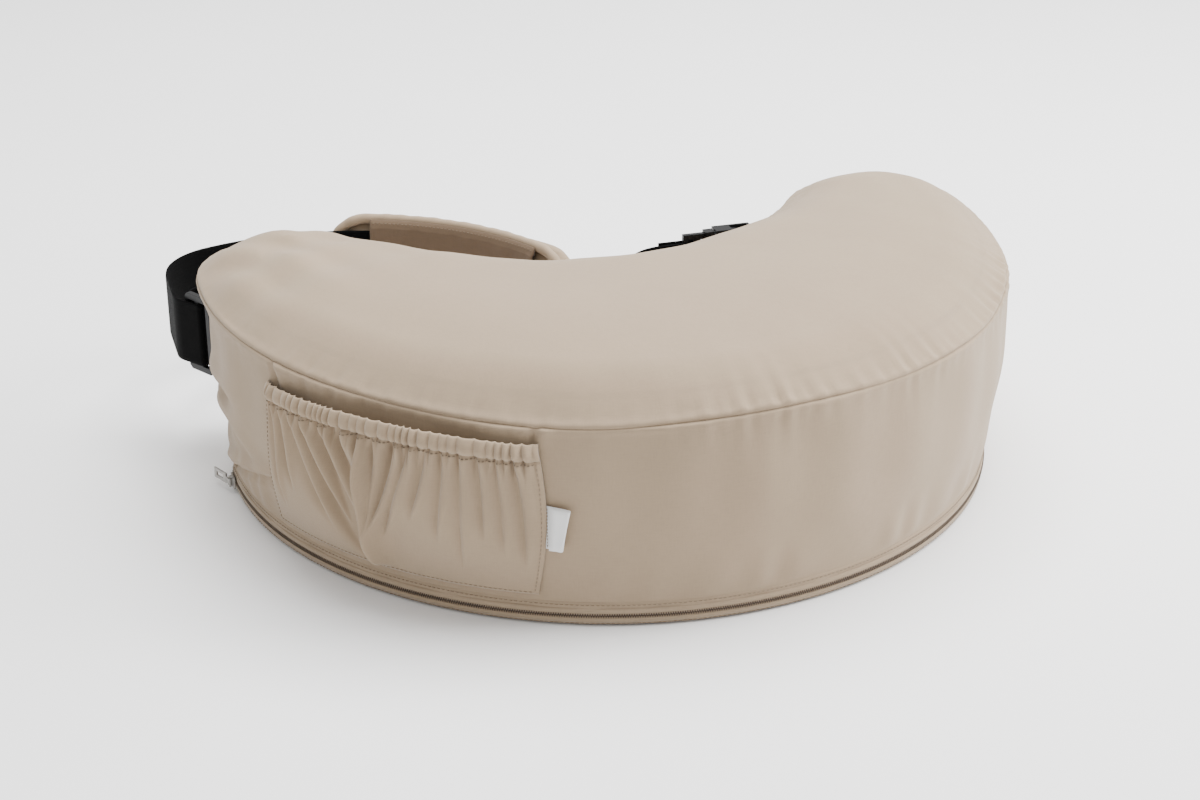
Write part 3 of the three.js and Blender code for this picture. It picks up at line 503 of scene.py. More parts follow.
def cushion_relief(p, q, s):
    """How far each point stands out, in millimetres. q is its distance from the seam, s the way round."""
    x, y, z = p[:, 0], p[:, 1], p[:, 2]
    wall = (q < 0) & (z > FOOT_Z)
    turn, reach = around(p)
    outer = wall & (reach > 235)
    relief = -3.5 * bell(q, 0.8) + 0.7 * bell(np.abs(q) - 3.2, 2.2)
    # Puckers where the seam gathers the cloth, strongest above the seam on the right.
    wander = 2.2 * np.sin(s / 31.0) + 1.4 * np.sin(s / 17.3 + 1.1)
    strength = 0.55 + 0.25 * np.sin(s / 47.0 + 0.6) + 0.2 * np.sin(s / 23.0)
    strength *= (0.25 + 0.75 * smooth((60 - y) / 90)) * (1.0 + 0.9 * smooth((x + 60) / 160) * (q > 0))
    near = np.abs(q)
    pucker = np.sin(TAU * s / 12.5 + wander) * np.exp(-near / 8.0)
    pucker += 0.6 * np.sin(TAU * s / 7.1 + 2 * wander) * np.exp(-near / 4.5)
    pucker += 0.7 * np.sin(TAU * s / 27.0 + 1.7 * wander) * np.exp(-near / 17.0)
    relief += 1.25 * strength * pucker * (1 - 0.85 * bell(q, 3.6))
    # Slow unevenness of the filling.
    relief += 0.9 * np.sin(x / 31.0 + 1.3) * np.sin(y / 38.0 + 0.4) * smooth((z - 10) / 40)
    relief += 0.8 * np.sin(x / 17.0 + z / 21.0) * np.sin(z / 25.0 - 0.6) * wall
    relief += 0.35 * np.sin(x / 9.0 + 1.7 * np.sin(y / 40.0)) * np.sin(y / 13.0) * (q > 12)
    # Soft wrinkles over the left horn.
    horn = np.exp(-(((x + 222) / 62) ** 2) - (((y - 95) / 70) ** 2)) * (q > 4)
    relief += 3.0 * horn * np.sin((0.86 * x + 0.5 * y) / 6.8 + 0.8 * np.sin(y / 21.0))
    relief += 2.1 * horn * np.sin((0.35 * x - 0.94 * y) / 9.5 + 1.1)
    # Slow pulls in the cloth of the wall.
    drape = np.sin(TAU * s / 61.0 + 0.8 * np.sin(s / 80.0))
    relief += 0.9 * drape * smooth((z - 30) / 60) * smooth((150 - z) / 30) * wall
    # The cloth at the left is drawn in, pinched half way up and folded beside the end of the zip.
    side = smooth((-74 - turn) / 22) * smooth((turn + 150) / 40) * outer
    relief -= side * 7.0 * smooth((z - 18) / 30) * smooth((150 - z) / 22)
    pinch_z = 78 - 0.75 * (-92 - turn)
    pinch = smooth((-74 - turn) / 12) * smooth((turn + 135) / 30) * outer
    relief += pinch * (-5.5 * bell(z - pinch_z, 3.6) + 3.4 * bell(z - pinch_z - 13, 8.0))
    relief += pinch * 3.4 * bell(z - pinch_z + 12, 7.0)
    fold_z = 44 + 1.6 * (turn + 72)
    fold = smooth((-64 - turn) / 6) * smooth((turn + 93) / 6) * outer
    relief += fold * (-5.0 * bell(z - fold_z, 2.6) + 4.6 * bell(z - fold_z - 8, 6.0))
    second_z = 52 + 0.9 * (-70 - turn)
    second = smooth((-69 - turn) / 6) * smooth((turn + 100) / 14) * outer
    relief += second * (-2.6 * bell(z - second_z, 3.0) + 1.5 * bell(z - second_z - 9, 6.0))
    # Tucks from the seam down to both upper corners of the pocket.
    for corner, lean in ((-64.6, 0.10), (-24.9, -0.04)):
        tuck = turn - corner - lean * (150 - z)
        high = smooth((z - 126) / 8) * smooth((151 - z) / 6) * outer
        relief += high * (-2.6 * bell(tuck, 0.42) + 1.3 * bell(tuck - 1.2, 0.8))
    # The lower edge of the cloth is drawn up and down a little by the zip.
    lower = smooth((60 - z) / 30) * wall * smooth((z - FOOT_Z) / 8)
    relief += 0.8 * lower * np.sin(TAU * s / 44.0 + wander)
    return relief


def make_cushion():
    front, waist = chains()
    ring = front + waist[-2:0:-1]
    rows = cushion_rows()
    points = []
    for z, inset, _ in rows:
        wall, recess = level(z, -inset), level(z, -inset - ZIP_RECESS)
        for station in ring:
            points.append((*place(recess if 1.5 < z < FOOT_Z and beside_zip(station) else wall, *station), z))
    count, sheet = len(ring), len(points)
    at_seam = np.array([(*place(level(SEAM_Z, 0), *station), SEAM_Z) for station in ring])
    steps = np.linalg.norm(np.diff(at_seam, axis=0, append=at_seam[:1]), axis=1)
    s_ring = np.concatenate([[0], np.cumsum(steps)[:-1]])
    faces = grid_faces(len(rows), count, wrap_cols=True)
    for start, top in ((sheet - count, 4.0), (0, 0.0)):
        def spot(a, b, t, top=top):
            swell = top * math.sin(math.pi * t) * min(1.0, np.linalg.norm(b - a) / 120)
            return (*lerp(a, b, t)[:2], a[2] + swell)

        fill_end(points, faces, range(start, start + count), 26, spot, start == 0)
    points = np.array(points)
    extra = (len(points) - sheet) // 2
    s = np.concatenate([np.tile(s_ring, len(rows)), np.zeros(2 * extra)])
    q = np.concatenate([np.repeat([row[2] for row in rows], count), [70.0] * extra, [-300.0] * extra])
    faces = outward(points, faces)
    # The seam dips at the front and at the right, and the crown is fuller beside the waist.
    x, y, z = points[:, 0], points[:, 1], points[:, 2]
    turn, reach = around(points)
    dip = -6.0 * bell(turn + 22, 20) - 3.0 * bell(turn - 28, 16)
    dip = dip - 5.0 * bell(turn - 50, 14) - 1.5 * bell(turn + 55, 22)
    dip *= np.exp(-((np.abs(q) / 26.0) ** 2)) * smooth((reach - 200) / 40)
    crown = 6.5 * bell(x - 88, 48) + 6.0 * bell(x + 120, 62) + 1.5 * bell(x + 20, 50)
    crown *= bell(y - np.interp(np.abs(x), [0, 60, 120, 180], [78, 88, 112, 150]), 42)
    points[:, 2] += dip + crown * (z > SEAM_Z) * smooth((z - SEAM_Z) / 12)
    lift = cushion_relief(points, q, s)
    lift[points[:, 2] < 17.4] = 0.0
    points = points + vertex_normals(points, faces) * lift[:, None]
    relax(points, faces, np.flatnonzero(q > 50), 25)
    uv = np.where((q > 20)[:, None], points[:, :2], np.stack([s, q], axis=1)) * MM
    obj = make_mesh("cushion_cover", points, faces, cover_cloth, uv)
    ride(obj, ROOT, (
        "foam_core", "liner_lower", "liner_upper", "cover_top_panel",
        "cover_gusset_front", "cover_gusset_waist", "cover_bottom_panel",
    ), "cover_cloth")


make_cushion()


# ---- Zip ----


def edge_point(deg, out, z):
    r = FOOT_LEVEL[0] + out
    return (r * sind(deg), FOOT_LEVEL[1] - r * cosd(deg), z)


def band(name, sections, material, replaced, slot, body=ROOT):
    """A closed band through equal sections, each a loop of points."""
    sections = np.array(sections)
    rows, cols = sections.shape[:2]
    points = sections.reshape(-1, 3)
    faces = outward(points, tube_faces(rows, cols))
    run, girth = (run_along(line) for line in (sections.mean(axis=1), sections[rows // 2]))
    uv = np.array([(u, v) for u in run for v in girth]) * MM
    return ride(make_mesh(name, points, faces, material, uv), body, replaced, slot)


def flange(name, low, high, fold_at_top, replaced):
    """A folded cloth edge beside the teeth, with a rounded fold towards them."""
    sections = []
    for i in range(361):
        deg = lerp(-ZIP_DEG, ZIP_DEG, i / 360)
        s = i * 2.5
        wave = 0.25 * math.sin(s / 13.0) + 0.18 * math.sin(s / 5.1 + 1)
        fold, root, toward = (high, low, 1) if fold_at_top else (low, high, -1)
        fold += 0.22 * math.sin(s / 19.0 + 0.7)
        loop = [
            (-1.2, root),
            (-0.9, fold - toward * 0.9),
            (-0.1, fold),
            (0.75 + wave * 0.4, fold - toward * 0.35),
            (1.15 + wave, fold - toward * 1.8),
            (0.45 + wave * 0.5, lerp(fold, root, 0.62)),
            (0.40 + wave * 0.4, lerp(fold, root, 0.85)),
            (-0.7, root),
        ]
        sections.append([edge_point(deg, out, z) for out, z in loop])
    band(name, sections, trim_cloth, replaced, "cover_cloth")


flange("zip_flange_upper", 10.3, 18.2, False, ("zip_tape_upper",))
flange("zip_flange_lower", 0.6, 5.3, True, ("zip_tape_lower",))


def teeth(name, low, high, toward, replaced):
    """One row of coil teeth on its strip of tape."""
    count, end, half = 560, ZIP_DEG - 1.0, 0.098
    points, faces = [], []
    root, tip, shift = (low, high, 0.5) if toward > 0 else (high, low, 0.0)
    for i in range(count):
        deg = lerp(-end, end, (i + shift) / count)
        start = len(points)
        for lean in (-half * 0.7, half * 0.7):
            for out, z in ((0.45, root), (1.5, root), (2.0, lerp(root, tip, 0.5)), (1.9, tip), (0.7, tip)):
                points.append(edge_point(deg + lean, out, z))
        faces.append(tuple(start + k for k in range(5)))
        faces.append(tuple(start + 9 - k for k in range(5)))
        for k in range(5):
            j = (k + 1) % 5
            faces.append((start + k, start + 5 + k, start + 5 + j, start + j))
    obj = make_mesh(name, points, faces, coil_plastic, rounded=False)
    ride(obj, ROOT, replaced, "zip_coil")


teeth("zip_teeth_lower", ZIP_MID_Z - 1.6, ZIP_MID_Z - 0.1, 1, ("zip_coil_lower",))
teeth("zip_teeth_upper", ZIP_MID_Z + 0.1, ZIP_MID_Z + 1.6, -1, ("zip_coil_upper",))


def tape_strip(name, low, high):
    loop = ((-0.9, low), (1.3, low), (1.3, high), (-0.9, high))
    turns = [lerp(-ZIP_DEG, ZIP_DEG, i / 240) for i in range(241)]
    band(name, [[edge_point(deg, *spot) for spot in loop] for deg in turns], tape_cloth, (), "zip_tape")


tape_strip("zip_tape_strip_lower", 2.6, 7.3)
tape_strip("zip_tape_strip_upper", 8.3, 13.2)


# ---- Stitches ----


def stitches(
    name, line, outs, material=thread_cloth, body=ROOT, length=2.3, pitch=3.4, radius=0.30, slot="cover_cloth"
):
    """A row of thread stitches along a line of points; outs are the directions they stand out in."""
    line, outs = np.array(line, float), np.array(outs, float)
    run = run_along(line)
    points, faces = [], []
    sides = 6

    def at(table, spot):
        return np.array([np.interp(spot, run, table[:, k]) for k in range(3)])

    for i in range(int(run[-1] / pitch)):
        middle = (i + 0.5) * pitch
        spots = [middle - length / 2, middle - length * 0.3, middle + length * 0.3, middle + length / 2]
        start = len(points)
        for spot, lift, size in zip(spots, (-0.25, 0.1, 0.1, -0.25), (0.5, 1, 1, 0.5)):
            centre, up = at(line, spot), at(outs, spot)
            ahead = at(line, spot + 0.5) - centre
            ahead /= max(np.linalg.norm(ahead), 1e-9)
            up /= np.linalg.norm(up)
            side = np.cross(ahead, up)
            for k in range(sides):
                a = TAU * k / sides
                offset = side * math.cos(a) + up * math.sin(a)
                points.append(centre + up * lift + offset * radius * size)
        faces += tube_faces(4, sides, start)
    ride(make_mesh(name, points, faces, material), body, (), slot)


def edge_line(out, z):
    angles = np.linspace(1 - ZIP_DEG, ZIP_DEG - 1, 400)
    return [edge_point(a, out, z) for a in angles], [(sind(a), -cosd(a), 0) for a in angles]


stitches("zip_stitches_upper", *edge_line(0.95, 15.4))
stitches("zip_stitches_lower", *edge_line(0.85, 2.0))


# ---- Pocket ----
POCKET_COLS = 420
CLOTH_T = 1.0


def pocket_top(u):
    return POCKET_TOP_Z + POCKET_RISE * math.sin(math.pi * u)


def pocket_deg(u, z):
    t = clamp01((z - FOOT_Z) / (SEAM_Z - FOOT_Z))
    bow = 1.2 * math.sin(math.pi * clamp01((z - POCKET_FOOT_Z) / 108)) * u**6
    return lerp(lerp(POCKET_FOOT[0], POCKET_SEAM[0], t), lerp(POCKET_FOOT[1], POCKET_SEAM[1], t), u) + bow


def pocket_swell(u, v):
    along = math.sin(math.pi * u) ** 0.5
    up = math.sin(math.pi / 2 * min(1, 1.5 * v)) * lerp(1, 0.72, v)
    return 0.5 + POCKET_SWELL * along * up


RUFFLES = 33
# Each fold runs from the casing (where it starts along it) down to a point (along, up): its
# half width in the middle and its depth, in millimetres.
FOLDS = (
    (0.04, 0.085, 0.3, 3.4, 3.6),
    (0.085, 0.15, 0.46, 3.6, 3.4),
    (0.13, 0.3, 0.3, 4.2, 3.0),
    (0.195, 0.385, 0.18, 4.4, 4.8),
    (0.275, 0.442, 0.05, 5.4, 6.4),
    (0.36, 0.468, 0.02, 8.6, 10.5),
    (0.432, 0.474, 0.03, 4.6, 6.0),
    (0.49, 0.484, 0.34, 4.0, 4.0),
    (0.56, 0.497, 0.4, 4.8, 5.6),
    (0.61, 0.53, 0.36, 3.8, 3.4),
    (0.665, 0.625, 0.55, 3.4, 2.8),
    (0.715, 0.7, 0.42, 3.4, 2.6),
    (0.765, 0.77, 0.25, 3.6, 2.2),
    (0.82, 0.835, 0.48, 3.2, 2.4),
    (0.87, 0.89, 0.38, 3.4, 2.2),
    (0.925, 0.95, 0.3, 3.4, 2.8),
)
POCKET_RUN = 220.0


def gather(u):
    """The ruffles' phase: unevenly spaced along the casing."""
    return math.pi * (RUFFLES * u + 0.35 * math.sin(19 * u + 1) + 0.25 * math.sin(43 * u))


def pocket_relief(u, v, hem):
    """The pocket's folds, in millimetres. v runs up the panel, and hem is 0 to 1 up the casing."""
    edge = ease(min(u, 1 - u) / 0.035)
    ruffle = 2 * abs(math.cos(gather(u))) ** 0.55 - 1.1
    uneven = 0.8 + 0.35 * math.sin(31 * u + 1) * math.sin(12 * u)
    if hem > 0:
        crest = 0.8 + 0.2 * math.cos(TAU * (hem - 0.5))
        return edge * 2.5 * uneven * ruffle * crest + 0.8 * math.sin(math.pi * hem)
    below = 1 - v
    relief = 2.5 * uneven * ruffle * math.exp(-((below / 0.10) ** 2))
    for start, end, stop, width, depth in FOLDS:
        t = below / (1 - stop)
        if t > 1.15:
            continue
        at = start + (end - start) * t**1.15
        spread_of = width * (0.42 + 0.75 * math.sin(math.pi * min(1.0, 0.12 + 0.8 * t)))
        away = (u - at) * POCKET_RUN / spread_of
        fade = ease((1.15 - t) / 0.4) * ease((t + 0.12) / 0.25)
        ridge = (u - at) * POCKET_RUN - 1.35 * spread_of
        slope = away / 0.42 if away > 0 else away / 1.35
        relief -= 1.3 * depth * fade * math.exp(-abs(slope) ** 1.5)
        relief += 0.6 * depth * fade * math.exp(-((ridge / (1.0 * spread_of)) ** 2))
    relief += 1.2 * math.sin(7 * u + 5 * v) * math.sin(math.pi * v)
    lip = (u - (0.405 + 0.068 * below)) * POCKET_RUN
    open_up = ease(v / 0.12) * ease(below / 0.3)
    relief += open_up * (6.5 * math.exp(-((lip - 5.5) / 4.2) ** 2) - 5.0 * math.exp(-((lip + 1.5) / 3.2) ** 2))
    return edge * relief * (0.1 + 0.9 * ease(v / 0.07))


def pocket_point(u, v, hem, extra):
    z = lerp(POCKET_FOOT_Z, pocket_top(u) - HEM_H, v) + HEM_H * hem
    groove = -1.2 * math.exp(-(((v - 1) * 105 + hem * HEM_H) / 1.0) ** 2)
    out = max(pocket_swell(u, v) + pocket_relief(u, v, hem) + groove, 0.45)
    thick = CLOTH_T + (1.8 * math.sin(math.pi * hem) ** 0.5 if hem > 0 else 0)
    return front_point(z, pocket_deg(u, z), out + (thick if extra else 0.0))


def make_pocket():
    rows = [(v, 0.0) for v in np.linspace(0, 1, 60)]
    rows += [(1.0, h) for h in (0.04, 0.1, 0.2, 0.35, 0.5, 0.65, 0.8, 0.9, 0.96, 1.0)]
    us = np.linspace(0, 1, POCKET_COLS)
    outer, lining = ([pocket_point(u, v, h, face) for v, h in rows for u in us] for face in (True, False))
    n, m = len(rows), POCKET_COLS
    faces = grid_faces(n, m) + [tuple(reversed(f)) for f in grid_faces(n, m, start=n * m)]
    back = n * m
    rim = list(range(m)) + [r * m + m - 1 for r in range(1, n)]
    rim += [(n - 1) * m + c for c in range(m - 2, -1, -1)] + [r * m for r in range(n - 2, 0, -1)]
    faces += [(b, a, back + a, back + b) for a, b in zip(rim, rim[1:] + rim[:1])]
    points = np.array(outer + lining)
    faces = outward(points, faces)
    flat = [(u * 0.26, (v + 0.11 * h) * 0.11) for v, h in rows for u in us]
    obj = make_mesh("pocket_cloth", points, faces, cover_cloth, flat + flat)
    ride(obj, ROOT, ("pocket_panel", "pocket_hem", "pocket_elastic"), "cover_cloth")


def pocket_line(spots, lift):
    """Points and directions on the pocket's outer face."""
    line, outs = [], []
    for u, v in spots:
        p = np.array(pocket_point(u, v, 0.0, True))
        deg = pocket_deg(u, p[2])
        out = np.array((sind(deg), -cosd(deg), 0.0))
        line.append(p + out * lift)
        outs.append(out)
    return line, outs


make_pocket()
hem_line = pocket_line([(u, 0.985) for u in np.linspace(0.012, 0.988, 500)], 0.25)
stitches("pocket_stitches_hem", *hem_line, dark_thread, length=1.9, pitch=3.0)
stitches("pocket_stitches_foot", *pocket_line([(u, 0.018) for u in np.linspace(0.012, 0.988, 500)], 0.15))
for end, u in (("left", 0.012), ("right", 0.988)):
    stitches("pocket_stitches_" + end, *pocket_line([(u, v) for v in np.linspace(0.02, 0.99, 120)], 0.15))


# ---- Bands that follow a path in plan ----


class PlanPath:
    """A path in plan, built from straight lengths and turns, as in the CAD part."""

    def __init__(self, x, y, heading):
        self.marks = [(x, y, heading)]

    @property
    def end(self):
        return self.marks[-1]

    def line(self, length, steps=1):
        for _ in range(steps):
            x, y, h = self.end
            self.marks.append((x + length / steps * cosd(h), y + length / steps * sind(h), h))
        return self

    def turn(self, radius, deg, steps):
        x, y, h = self.end
        side = math.copysign(1, deg)
        cx, cy = x - side * radius * sind(h), y + side * radius * cosd(h)
        for i in range(1, steps + 1):
            a = h + deg * i / steps
            self.marks.append((cx + side * radius * sind(a), cy - side * radius * cosd(a), a))
        return self

    def bend(self, target, reach, steps):
        p0 = np.array(self.end[:2])
        p3 = np.array(target[:2])
        h0, h3 = self.end[2], target[2]
        p1 = p0 + reach * np.array((cosd(h0), sind(h0)))
        p2 = p3 - reach * np.array((cosd(h3), sind(h3)))
        for i in range(1, steps + 1):
            t = i / steps
            w = 1 - t
            p = w**3 * p0 + 3 * w * w * t * p1 + 3 * w * t * t * p2 + t**3 * p3
            d = 3 * w * w * (p1 - p0) + 6 * w * t * (p2 - p1) + 3 * t * t * (p3 - p2)
            self.marks.append((p[0], p[1], math.degrees(math.atan2(d[1], d[0]))))
        return self


WEB_LOW, WEB_HIGH = WEB_MID - WEB_W / 2, WEB_MID + WEB_W / 2
FOLD_R = 2.0 + 0.4 + WEB_T / 2
GLIDE_X, GLIDE_Y, GLIDE_H = -294.0, 185.0, -58.7
LAND_OFFSET = 0.3 + 1.2 + 0.3 + 0.9 + WEB_T / 2
RIBS = 17


def landing(side, span, offset):
    steps, rows = 10, []
    for i in range(steps + 1):
        deg = lerp(*span, i / steps)
        rows.append(((*horn_point(WEB_MID, side, deg, offset)[:2], 180 + deg), lean_of(side, deg, 1.0)))
    return rows


def lean_of(side, deg, share):
    def radial(z):
        x, y, _ = horn_point(z, side, deg, 0)
        return -x * sind(deg) + y * cosd(deg)

    middle = radial(WEB_MID)
    return tuple(-share * (radial(z) - middle) for z in (WEB_LOW, WEB_HIGH))


def leave_horn(side, span, offset, target, reach):
    steps = 16
    rows = landing(side, span, offset)
    path = PlanPath(*rows[-1][0]).bend(target, reach, steps)
    for i, mark in enumerate(path.marks[1:]):
        rows.append((mark, lean_of(side, span[1], (1 - (i + 1) / steps) ** 2)))
    return rows


def ribbon(name, rows, replaced):
    """Webbing with lengthwise ribs and rounded edges. rows hold a mark and the lean of both edges."""
    sections = []
    for (x, y, h), (low, high) in rows:
        nx, ny = -sind(h), cosd(h)
        loop = []
        for side, t in there_and_back(2 * RIBS):
            edge = 1 - 0.55 * max(0.0, abs(2 * t - 1) - 0.95) / 0.05
            rib = 0.09 * math.cos(TAU * t * RIBS)
            out = side * (WEB_T / 2 * edge - 0.09 + rib) + lerp(low, high, t)
            loop.append((x + out * nx, y + out * ny, lerp(WEB_LOW, WEB_HIGH, t)))
        sections.append(loop)
    band(name, sections, black_webbing, replaced, "webbing")


def free(marks):
    return [(mark, (0.0, 0.0)) for mark in marks]


def belt_rows():
    heading = GLIDE_H - 6.0
    lead = 17.0
    fold = (GLIDE_X + 1.6 * cosd(GLIDE_H), GLIDE_Y + 1.6 * sind(GLIDE_H))
    inner = (
        fold[0] - FOLD_R * sind(heading) - lead * cosd(heading),
        fold[1] + FOLD_R * cosd(heading) - lead * sind(heading),
    )
    back = PlanPath(*inner, heading + 180).turn(12.0, 155.0 - heading - 360, 1)
    start = (*back.end[:2], 155.0)
    rows = leave_horn(-1, LEFT_SPAN, LAND_OFFSET, start, 16.0)
    path = PlanPath(*start).turn(12.0, heading + 360 - 155.0, 16).line(lead, 3)
    path.turn(FOLD_R, -168.0, 12).line(lead, 3)
    path.turn(20.0, 90 - path.end[2], 16)
    join = (ARC_X + ARC_R * sind(ARC_FROM), ARC_Y + ARC_R * cosd(ARC_FROM))
    corner = (join[0] - path.end[0]) / (1 - sind(-ARC_FROM))
    path.line(join[1] - corner * cosd(-ARC_FROM) - path.end[1], 6)
    path.turn(corner, -ARC_FROM - 90, 32).turn(ARC_R, ARC_FROM - ARC_TO, 60)
    path.turn(24.0, ARC_TO + 74.0, 24)
    climb = BUCKLE_Y - FOLD_R - 38.0 * (1 - cosd(74.0)) - path.end[1]
    path.line(climb / sind(74.0), 4).turn(38.0, -74.0, 14)
    path.line(94.0 + 4 + 5 + 2 + 1.6 - path.end[0], 5).turn(FOLD_R, 180, 12).line(32.0, 6)
    return rows + free(path.marks[1:])


ribbon("belt_webbing_strap", belt_rows(), ("belt_webbing",))


def tab_rows():
    fold_r = 2.5 + 0.4 + WEB_T / 2
    near = leave_horn(1, RIGHT_SPAN, LAND_OFFSET, (170.0, BUCKLE_Y - fold_r, 180.0), 12.0)
    far = leave_horn(1, RIGHT_SPAN, LAND_OFFSET + WEB_T + 0.4, (170.0, BUCKLE_Y + fold_r, 180.0), 12.0)
    fold = PlanPath(170.0, BUCKLE_Y - fold_r, 180.0).line(9.0, 2).turn(fold_r, -180, 12)
    back = [((x, y, h + 180), (-low, -high)) for (x, y, h), (low, high) in reversed(far)]
    return near + free(fold.marks[1:]) + back


ribbon("buckle_tab_strap", tab_rows(), ("right_anchor_tab",))


def anchor_patch(name, side, span, replaced):
    """A turned-in cloth patch under a sewn end, thicker along its edges."""
    sections = []
    for i in range(41):
        t = i / 40
        deg = lerp(span[0] - 4, span[1] - 1, t)
        loop = []
        for side_of, w in there_and_back(24):
            rim = max(bell(min(t, 1 - t) * 40 - 2.5, 1.6), bell(min(w, 1 - w) * 58 - 2.5, 1.6))
            out = 0.1 + (1.1 + 0.35 * rim if side_of > 0 else 0.0)
            loop.append(horn_point(lerp(WEB_LOW - 4, WEB_HIGH + 4, w), side, deg, out))
        sections.append(loop)
    # The patch's cloth is the cover's sand, darkened as painted shade.
    band(name, sections, sleeve_cloth, replaced, "sleeve_cloth")


anchor_patch("anchor_patch_left", -1, LEFT_SPAN, ("left_anchor_patch",))
anchor_patch("anchor_patch_right", 1, RIGHT_SPAN, ("right_anchor_patch",))


def box_stitches(name, side, span, offset):
    """The sewn box and cross that hold a webbing end to its patch."""
    left, right, bottom, top = span[0] + 1, span[1] - 3, WEB_LOW + 5, WEB_HIGH - 5
    corners = [(left, bottom), (right, bottom), (right, top), (left, top)]
    order = [0, 1, 2, 3, 0, 2, 3, 1]
    line, outs = [], []
    for a, b in zip(order, order[1:]):
        for t in np.linspace(0, 1, 14):
            deg, z = (lerp(corners[a][k], corners[b][k], t) for k in (0, 1))
            low, high = (horn_point(h, side, deg, 0) for h in (WEB_LOW, WEB_HIGH))
            x, y = (lerp(low[k], high[k], (z - WEB_LOW) / WEB_W) for k in (0, 1))
            shift = offset + 0.95
            line.append((x - shift * sind(deg), y + shift * cosd(deg), z))
            outs.append((-sind(deg), cosd(deg), 0))
    stitches(name, line, outs, black_thread, slot="webbing", radius=0.34, length=2.6, pitch=3.8)


box_stitches("anchor_stitches_left", -1, LEFT_SPAN, LAND_OFFSET)
box_stitches("anchor_stitches_right", 1, RIGHT_SPAN, LAND_OFFSET + WEB_T + 0.4)


# ---- Side label ----


def make_label():
    """A folded woven loop, sewn in at the pocket's right edge."""
    low, high, length, thick = 60.0, 91.0, 13.4, 0.6
    deg = pocket_deg(1, low) + 0.25
    x, y, _ = front_point(high, deg, 0.6)
    path = PlanPath(x, y, deg - 8).line(length / 3).turn(55, 5, 3).turn(38, -8, 3)
    path.line(0.8).turn(0.9, -180, 8).line(1.5).turn(44, 7, 3).line(length - 9.0)
    sections = []
    for px, py, h in path.marks:
        nx, ny = -sind(h), cosd(h)
        loop = []
        for side, t in there_and_back(8):
            shift = side * thick / 2 + 0.35 * (2 * t - 1) ** 2
            slack = math.hypot(px - x, py - y) / length
            back = 4.2 * slack * (1 - t)
            z = lerp(low, high, t) - 1.5 * slack * t
            loop.append((px + nx * shift - back * cosd(deg), py + ny * shift - back * sind(deg), z))
        sections.append(loop)
    obj = band("label_loop", sections, label_cloth, ("side_label",), "label")
    a, b = (np.array((px + 0.45 * sind(h), py - 0.45 * cosd(h))) for px, py, h in path.marks[:2])
    spots = [(*lerp(a, b, 0.25), z) for z in np.linspace(low + 1, high - 1, 20)]
    out = (sind(deg), -cosd(deg), 0)
    stitches("label_stitches", spots, [out] * 20, slot="label", length=1.6, pitch=2.4, radius=0.22)


make_label()


# ---- Back pad ----
PAD_MID = (PAD_LOW + PAD_HIGH) / 2
PAD_HALF = (PAD_HIGH - PAD_LOW) / 2
PAD_IN = ARC_R + WEB_T / 2 + 0.4
END_R = 34.0
PAD_SWELL = 0.0045  # metres


def arc_point(deg, radius, z):
    return (ARC_X + radius * sind(deg), ARC_Y + radius * cosd(deg), z)


def pad_outline(t, inset):
    """A point of the pad's rounded outline, unrolled: along from its middle, and up from its middle."""
    half_l = math.radians(PAD_TO - PAD_FROM) * PAD_IN / 2 - inset
    half_h = PAD_HALF - inset
    r = max(4.0, END_R - inset)
    straight_l, straight_h = 2 * (half_l - r), 2 * (half_h - r)
    quarter = math.pi * r / 2
    total = 2 * straight_l + 2 * straight_h + 4 * quarter
    run = (t % 1.0) * total
    sides = [(straight_l, 0), (straight_h, 90), (straight_l, 180), (straight_h, 270)]
    x, y = -straight_l / 2, -half_h
    for length, heading in sides:
        if run <= length:
            return x + run * cosd(heading), y + run * sind(heading)
        x, y = x + length * cosd(heading), y + length * sind(heading)
        run -= length
        cx, cy = x - r * sind(heading), y + r * cosd(heading)
        if run <= quarter:
            a = heading + math.degrees(run / r)
            return cx + r * sind(a), cy - r * cosd(a)
        a = heading + 90
        x, y = cx + r * sind(a), cy - r * cosd(a)
        run -= quarter
    return x, y


def pad_place(along, up, radius):
    middle = (PAD_FROM + PAD_TO) / 2
    return arc_point(middle + math.degrees(along / PAD_IN), radius, PAD_MID + up)


def pad_base():
    """The pad's plain stuffed body, a little smaller than its finished size."""
    count = 150
    profile = [(1.2, 30), (1.0, 12), (1.6, 5), (5.0, 2.2), (9.0, 1.5)]
    profile += [(13.0, 2.6), (16.2, 6.5), (17.6, 14), (18.4, 28)]
    points = []
    for depth, inset in profile:
        points += [pad_place(*pad_outline(i / count, inset), PAD_IN + depth) for i in range(count)]
    faces = grid_faces(len(profile), count, wrap_cols=True)
    for start, edge, middle in ((0, profile[0][0], 1.0), ((len(profile) - 1) * count, profile[-1][0], 19.2)):
        def spot(a, b, t, edge=edge, middle=middle):
            flat = lerp(a, b, t)[:2] - (ARC_X, ARC_Y)
            reach = PAD_IN + lerp(edge, middle, math.sin(math.pi * t))
            return (*(flat / np.linalg.norm(flat) * reach + (ARC_X, ARC_Y)), lerp(a, b, t)[2])

        shift = int(count * 0.12)
        ring = [start + (shift + i) % count for i in range(count)]
        fill_end(points, faces, ring, 14, spot, False)
    points = np.array(points)
    return points, outward(points, faces)


